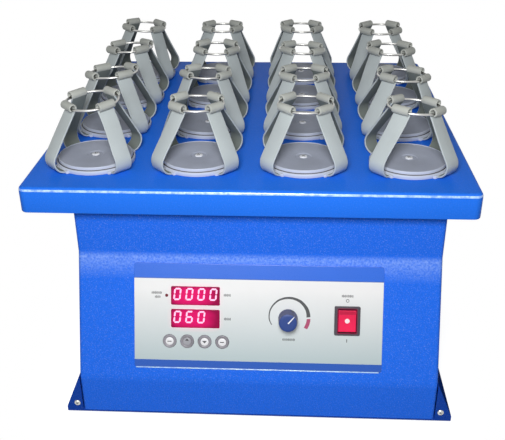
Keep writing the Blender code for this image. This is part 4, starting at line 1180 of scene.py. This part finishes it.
class SHAKER_OT_knob(Maker):
    """Builds the speed knob with its gripped skirt and white pointer"""

    bl_idname = "shaker.knob"
    bl_label = "Speed knob"

    def make(self, sizes, looks):
        skirt = coated("knob_skirt", looks.skirt, 0.5, 0.08, wear=0.3)
        face = coated("knob_face", looks.knob, 0.42, 0.05)
        white = printed("knob_pointer", (0.85, 0.86, 0.88), 0.35)
        dark = rubber("knob_notch", (0.01, 0.01, 0.012), 0.6)
        low, high = console_box("speed_knob")
        centre = ((low + high) / 2).xy
        place = Matrix.Translation((*centre, 0.0))
        top = high.z - 0.0005
        foot = 0.0003
        shape = Shape()
        flutes, fine = 30, 5
        levels = [(1.0, foot, 0.0), (1.0, foot + 0.0012, 0.0), (0.985, foot + 0.0016, 1.0), (0.945, top - 0.0016, 1.0), (0.935, top - 0.0008, 0.4), (0.91, top - 0.0002, 0.0), (0.87, top, 0.0)]
        rings = []
        for share, z, depth in levels:
            ring = []
            for i in range(flutes * fine):
                turn = math.tau * i / (flutes * fine)
                radius = sizes.knob * share - depth * 0.00022 * (1 + math.cos(turn * flutes)) / 2
                ring.append((radius * math.cos(turn), radius * math.sin(turn), z))
            rings.append(ring)
        shape.loft(rings, 0, place=place)
        shape.turn([(sizes.knob * 0.88, top - 0.0005), (sizes.knob * 0.88, top), (sizes.knob * 0.85, top + 0.0002), (sizes.knob * 0.6, top + 0.0002)], 64, 1, place)
        shape.turn([(0.003, low.z), (0.003, foot + 0.001)], 24, 0, place)
        spin = place @ Matrix.Rotation(math.radians(-41), 4, "Z")
        pointer = [(-0.0002, -0.0003), (0.0012, -0.0003), (0.0009, 0.0092), (0.0002, 0.0092)]
        points = [(x, y, z) for z in (top, top + 0.0004) for x, y in pointer]
        shape.add(points, [(0, 1, 2, 3), (4, 5, 6, 7), (0, 1, 5, 4), (1, 2, 6, 5), (2, 3, 7, 6), (3, 0, 4, 7)], 2, spin)
        # A near-black block on the skirt stands for the notch: painted shade in its hollow.
        nick = place @ Matrix.Rotation(math.radians(-28), 4, "Z")
        shape.block((-0.0014, sizes.knob * 0.90, foot + 0.0028), (0.0014, sizes.knob * 0.99, foot + 0.0068), 3, nick)
        piece("knob_cap", shape.mesh("knob"), [skirt, face, white, dark], "knob", ["speed_knob"], CONSOLE)


class SHAKER_OT_switch(Maker):
    """Builds the framed mains switch and its red rocker"""

    bl_idname = "shaker.switch"
    bl_label = "Mains switch"

    def make(self, sizes, looks):
        black = coated("switch_black", (0.062, 0.052, 0.066), 0.38, 0.1)
        # The lip round the rocker's well is dark red: painted shade in the gap, with a painted red glow from the
        # rocker.
        glow = coated("switch_well", (0.20, 0.010, 0.045), 0.3, 0.1)
        low, high = console_box("switch_body")
        centre = ((low + high) / 2).xy
        width, height = high.x - low.x, high.y - low.y
        shape = Shape()
        shape.slab(rectangle(width, height, 0.0016, 4, centre), 0.0003, high.z, 0.0007, 4)
        frame_mesh = shape.mesh("frame")
        body = Shape()
        body.block((centre.x - width / 2 + 0.0018, centre.y - height / 2 + 0.0018, low.z), (centre.x + width / 2 - 0.0018, centre.y + height / 2 - 0.0018, 0.0006))
        a, b = 0.0189 + 0.0008, 0.0242 + 0.0016
        well = Shape()
        well.slab(rectangle(a, b, 0.0008, 3, centre), low.z + 0.004, high.z + 0.004, 0.0001, 1)
        top = cut(frame_mesh, [well.mesh("well")])
        base = cut(body.mesh("body"), [well.mesh("well")])
        work = bmesh.new()
        lip = Shape()
        inner, outer = rectangle(a, b, 0.0008, 3, centre)(0.0), rectangle(a + 0.0016, b + 0.0016, 0.0012, 3, centre)(0.0)
        face = high.z + 0.00012
        lip.loft([[(x, y, z) for x, y in ring] for ring, z in ((outer, face - 0.0004), (outer, face), (inner, face), (inner, face - 0.002))], 1, True)
        work.from_mesh(top)
        work.from_mesh(base)
        work.from_mesh(lip.mesh("lip"))
        work.to_mesh(top)
        work.free()
        piece("switch_frame", top, [black, glow], "case", ["switch_body"], CONSOLE, True)
        self.rocker(looks, high.z)

    def rocker(self, looks, face):
        red = coated("rocker_red", looks.rocker, 0.22, 0.06)
        # Dark strips along the rocker's two sides: painted shade of the gap beside it.
        deep = coated("rocker_side", tint(looks.rocker, 0.2)[:3], 0.35, 0.06)
        # Paler pink on the fold of the crown: painted highlight.
        shine = coated("rocker_crown", toward(looks.rocker, (1.0, 0.45, 0.55), 0.22)[:3], 0.25, 0.05)
        # Darker red on the upper end and the lower edge: painted shade.
        shade = coated("rocker_top", tint(looks.rocker, 0.66)[:3], 0.3, 0.06)
        mark = printed("rocker_mark", (0.95, 0.80, 0.82), 0.3)
        pivot = TO_CONSOLE @ Vector(joint("mains_rock")["pos_m"])
        half_x, half_y, crest = 0.0189 / 2, 0.0242 / 2, 0.0026
        profile = [(half_y, 0.0), (half_y, crest)]
        steps = 10
        for i in range(1, steps):
            y = half_y * (1 - 2 * i / steps)
            profile.append((y, crest / 2 + crest / 2 * (abs(y) / half_y) ** 1.3))
        profile += [(-half_y, crest), (-half_y, 0.0), (0.0, -0.006)]
        shape = Shape()
        edge = half_x - 0.0012
        shape.loft([[(x, y, z) for y, z in profile] for x in (-half_x, -edge, edge, half_x)])
        # The side strips take the painted shade (finish 2); the loop below gives the upper end and lower edge painted
        # shade (4) and the crown its painted highlight (3).
        for side in (0, 2):
            for i in range(len(profile)):
                shape.picks[side * len(profile) + i] = 2
        for i, finish in ((0, 4), (1, 4), (2, 4), (3, 3), (len(profile) - 4, 4)):
            shape.picks[len(profile) + i] = finish
        mesh = soften(shape.mesh("rocker"), 0.0006, 3, 40.0)
        dot = Shape()
        dot.turn([(0.0026, crest / 2 - 0.0003), (0.0026, crest / 2 + 0.00035), (0.0022, crest / 2 + 0.0005)], 28, 1)
        work = bmesh.new()
        work.from_mesh(mesh)
        work.from_mesh(dot.mesh("dot"))
        work.to_mesh(mesh)
        work.free()
        place = CONSOLE @ Matrix.Translation(pivot) @ Matrix.Rotation(math.radians(7), 4, "X")
        piece("rocker_key", mesh, [red, mark, deep, shine, shade], "rocker", ["switch_rocker"], place, True)


class SHAKER_OT_inlet(Maker):
    """Builds the mains inlet on the back"""

    bl_idname = "shaker.inlet"
    bl_label = "Mains inlet"

    def make(self, sizes, looks):
        black = coated("inlet_black", (0.02, 0.02, 0.022), 0.45, 0.1)
        metals = plain_metals()
        low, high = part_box("power_inlet")
        centre = (low + high) / 2
        place = Matrix.Translation((centre.x, high.y, centre.z)) @ Matrix.Rotation(-math.pi / 2, 4, "X")
        deep = high.y - low.y
        shape = Shape()
        shape.slab(rectangle(high.x - low.x, high.z - low.z, 0.003, 5), -0.003, 0.0, 0.0008, 4)
        shape.block((-0.019, -0.013, -deep), (0.019, 0.013, -0.0025))
        well = Shape()
        well.slab(rectangle(0.0245, 0.0175, 0.003, 4), -0.017, 0.004, 0.0001, 1)
        mesh = cut(shape.mesh("inlet"), [well.mesh("well")])
        piece("inlet_housing", mesh, [black], "case", ["power_inlet"], place, True)
        pins = Shape()
        for x, y in ((-0.007, 0.002), (0.0, -0.002), (0.007, 0.002)):
            pins.slab(rectangle(0.002, 0.004, 0.0004, 2, (x, y)), -0.017, -0.005, 0.0004, 2)
        piece("inlet_blades", pins.mesh("pins"), [metals["pins"]], "case", place=place)
        heads = Shape()
        for x in (-0.0205, 0.0205):
            screw(heads, Matrix.Translation((x, 0.0, 0.0)), 0.0026, 0.0015)
        dark = rubber("screw_recess", (0.05, 0.05, 0.05), 0.6)
        piece("inlet_screws", heads.mesh("screws"), [metals["zinc"], dark], "case", place=place)


class SHAKER_OT_drive(Maker):
    """Finishes the drive inside the case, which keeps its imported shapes"""

    bl_idname = "shaker.drive"
    bl_label = "Drive"

    def make(self, sizes, looks):
        metals = plain_metals()
        iron = coated("painted_iron", (0.045, 0.05, 0.05), 0.55, 0.15, 0.0004, scale=300.0)
        belt = rubber("ribbed_belt", (0.02, 0.02, 0.02), 0.7)
        finishes = {
            "drive_plate": metals["plate"],
            "bearing_housing": metals["cast"],
            "eccentric_shaft": metals["turned"],
            "counterweight": iron,
            "driven_pulley": metals["pulley"],
            "motor_pulley": metals["pulley"],
            "motor": iron,
            "drive_belt": belt,
            "platform_frame": metals["cast"],
            "idler_crank_1": metals["turned"],
            "idler_crank_2": metals["turned"],
            "idler_crank_3": metals["turned"],
        }
        for node, made in finishes.items():
            paint_node(node, made, 0.0004)


class SHAKER_OT_stage(Maker):
    """Sets up the floor, the white surround, the lamps and the camera"""

    bl_idname = "shaker.stage"
    bl_label = "Stage"

    def make(self, sizes, looks):
        scene = bpy.context.scene
        scene.view_settings.view_transform = "Standard"
        self.camera(scene)
        self.floor()
        self.surround(scene)
        self.lamp("key_lamp", (0.0, -0.90, 0.74), (0.0, -0.15, 0.2), 0.24, 8.0)
        self.lamp("low_lamp", (-0.3, -2.1, 0.90), (0.0, -0.2, 0.15), 0.5, 4.0)

    def camera(self, scene):
        """Stands where the photograph was taken from."""
        yaw, pitch, roll = -0.052168, 0.480673, -0.007696
        ahead = Vector((math.sin(yaw) * math.cos(pitch), math.cos(yaw) * math.cos(pitch), -math.sin(pitch)))
        level = Vector((math.cos(yaw), -math.sin(yaw), 0.0))
        over = level.cross(ahead)
        right = math.cos(roll) * level + math.sin(roll) * over
        up = -math.sin(roll) * level + math.cos(roll) * over
        data = bpy.data.cameras.new("camera")
        data.sensor_width = 36.0
        data.lens = 54.548
        camera = bpy.data.objects.new("camera", data)
        scene.collection.objects.link(camera)
        place = Matrix((right, up, -ahead)).transposed().to_4x4()
        place.translation = (0.040412, -0.895097, 0.588141)
        camera.matrix_world = place
        scene.camera = camera

    def floor(self):
        mesh = bpy.data.meshes.new("floor")
        reach = 30.0
        mesh.from_pydata([(-reach, -reach, 0.0), (reach, -reach, 0.0), (reach, reach, 0.0), (-reach, reach, 0.0)], [], [(0, 1, 2, 3)])
        obj = bpy.data.objects.new("floor", mesh)
        bpy.context.scene.collection.objects.link(obj)
        material = bpy.data.materials.new("pale_floor")
        material.use_nodes = True
        tree = material.node_tree
        tree.nodes.clear()
        lit_part = tree.nodes.new("ShaderNodeBsdfDiffuse")
        lit_part.inputs["Color"].default_value = (0.35, 0.35, 0.35, 1.0)
        shaded = tree.nodes.new("ShaderNodeBsdfDiffuse")
        shaded.inputs["Color"].default_value = (0.9, 0.9, 0.9, 1.0)
        glow = tree.nodes.new("ShaderNodeEmission")
        glow.inputs["Strength"].default_value = 0.72
        near = tree.nodes.new("ShaderNodeAddShader")
        tree.links.new(shaded.outputs[0], near.inputs[0])
        tree.links.new(glow.outputs[0], near.inputs[1])
        white = tree.nodes.new("ShaderNodeEmission")
        spot = tree.nodes.new("ShaderNodeTexCoord")
        steps = [("ABSOLUTE", None), ("SUBTRACT", (0.19, 0.225, 0.0)), ("MAXIMUM", (0.0, 0.0, 0.0)), ("LENGTH", None)]
        past = spot.outputs["Object"]
        for operation, other in steps:
            away = tree.nodes.new("ShaderNodeVectorMath")
            away.operation = operation
            tree.links.new(past, away.inputs[0])
            if other:
                away.inputs[1].default_value = other
            past = away.outputs["Value" if operation == "LENGTH" else "Vector"]
        fade = tree.nodes.new("ShaderNodeMapRange")
        fade.inputs["From Min"].default_value = 0.015
        fade.inputs["From Max"].default_value = 0.075
        tree.links.new(past, fade.inputs["Value"])
        seen = tree.nodes.new("ShaderNodeMixShader")
        tree.links.new(fade.outputs[0], seen.inputs[0])
        tree.links.new(near.outputs[0], seen.inputs[1])
        tree.links.new(white.outputs[0], seen.inputs[2])
        mix = tree.nodes.new("ShaderNodeMixShader")
        tree.links.new(seen_by_eye(tree), mix.inputs[0])
        tree.links.new(lit_part.outputs[0], mix.inputs[1])
        tree.links.new(seen.outputs[0], mix.inputs[2])
        out = tree.nodes.new("ShaderNodeOutputMaterial")
        tree.links.new(mix.outputs[0], out.inputs["Surface"])
        mesh.materials.append(material)

    def surround(self, scene):
        world = bpy.data.worlds.new("surround")
        world.use_nodes = True
        scene.world = world
        tree = world.node_tree
        tree.nodes.clear()
        light = tree.nodes.new("ShaderNodeBackground")
        light.inputs["Strength"].default_value = 0.10
        white = tree.nodes.new("ShaderNodeBackground")
        white.inputs["Color"].default_value = (1.0, 1.0, 1.0, 1.0)
        white.inputs["Strength"].default_value = 1.0
        mix = tree.nodes.new("ShaderNodeMixShader")
        tree.links.new(seen_by_eye(tree), mix.inputs[0])
        tree.links.new(light.outputs[0], mix.inputs[1])
        tree.links.new(white.outputs[0], mix.inputs[2])
        out = tree.nodes.new("ShaderNodeOutputWorld")
        tree.links.new(mix.outputs[0], out.inputs["Surface"])

    def lamp(self, name, spot, target, width, watts):
        data = bpy.data.lights.new(name, "AREA")
        data.shape = "SQUARE"
        data.size = width
        data.energy = watts
        obj = bpy.data.objects.new(name, data)
        bpy.context.scene.collection.objects.link(obj)
        obj.location = spot
        obj.rotation_euler = (Vector(target) - Vector(spot)).to_track_quat("-Z", "Y").to_euler()


def seen_by_eye(tree):
    """One where a ray comes from the camera, a mirror or a window."""
    path = tree.nodes.new("ShaderNodeLightPath")
    total = path.outputs["Is Camera Ray"]
    for name in ("Is Glossy Ray", "Is Transmission Ray"):
        most = tree.nodes.new("ShaderNodeMath")
        most.operation = "MAXIMUM"
        tree.links.new(total, most.inputs[0])
        tree.links.new(path.outputs[name], most.inputs[1])
        total = most.outputs[0]
    return total


MAKERS = (
    SHAKER_OT_stage,
    SHAKER_OT_tray,
    SHAKER_OT_clips,
    SHAKER_OT_rings,
    SHAKER_OT_case,
    SHAKER_OT_panel,
    SHAKER_OT_displays,
    SHAKER_OT_keys,
    SHAKER_OT_knob,
    SHAKER_OT_switch,
    SHAKER_OT_inlet,
    SHAKER_OT_drive,
)


class SHAKER_PT_build(bpy.types.Panel):
    """Lists the steps in the order in which they are run"""

    bl_label = "Flask Shaker"
    bl_idname = "SHAKER_PT_build"
    bl_space_type = "VIEW_3D"
    bl_region_type = "UI"
    bl_category = "Shaker"

    def draw(self, context):
        for maker in MAKERS:
            self.layout.operator(maker.bl_idname)
        for group in (context.scene.shaker_sizes, context.scene.shaker_looks):
            box = self.layout.box()
            for name in group.__annotations__:
                box.prop(group, name)


CLASSES = (ShakerSizes, ShakerLooks, *MAKERS, SHAKER_PT_build)


def register():
    for made in CLASSES:
        bpy.utils.register_class(made)
    bpy.types.Scene.shaker_sizes = PointerProperty(type=ShakerSizes)
    bpy.types.Scene.shaker_looks = PointerProperty(type=ShakerLooks)


def unregister():
    del bpy.types.Scene.shaker_looks
    del bpy.types.Scene.shaker_sizes
    for made in reversed(CLASSES):
        bpy.utils.unregister_class(made)


def main():
    register()
    for maker in MAKERS:
        family, step = maker.bl_idname.split(".")
        getattr(getattr(bpy.ops, family), step)()


if __name__ == "__main__":
    main()
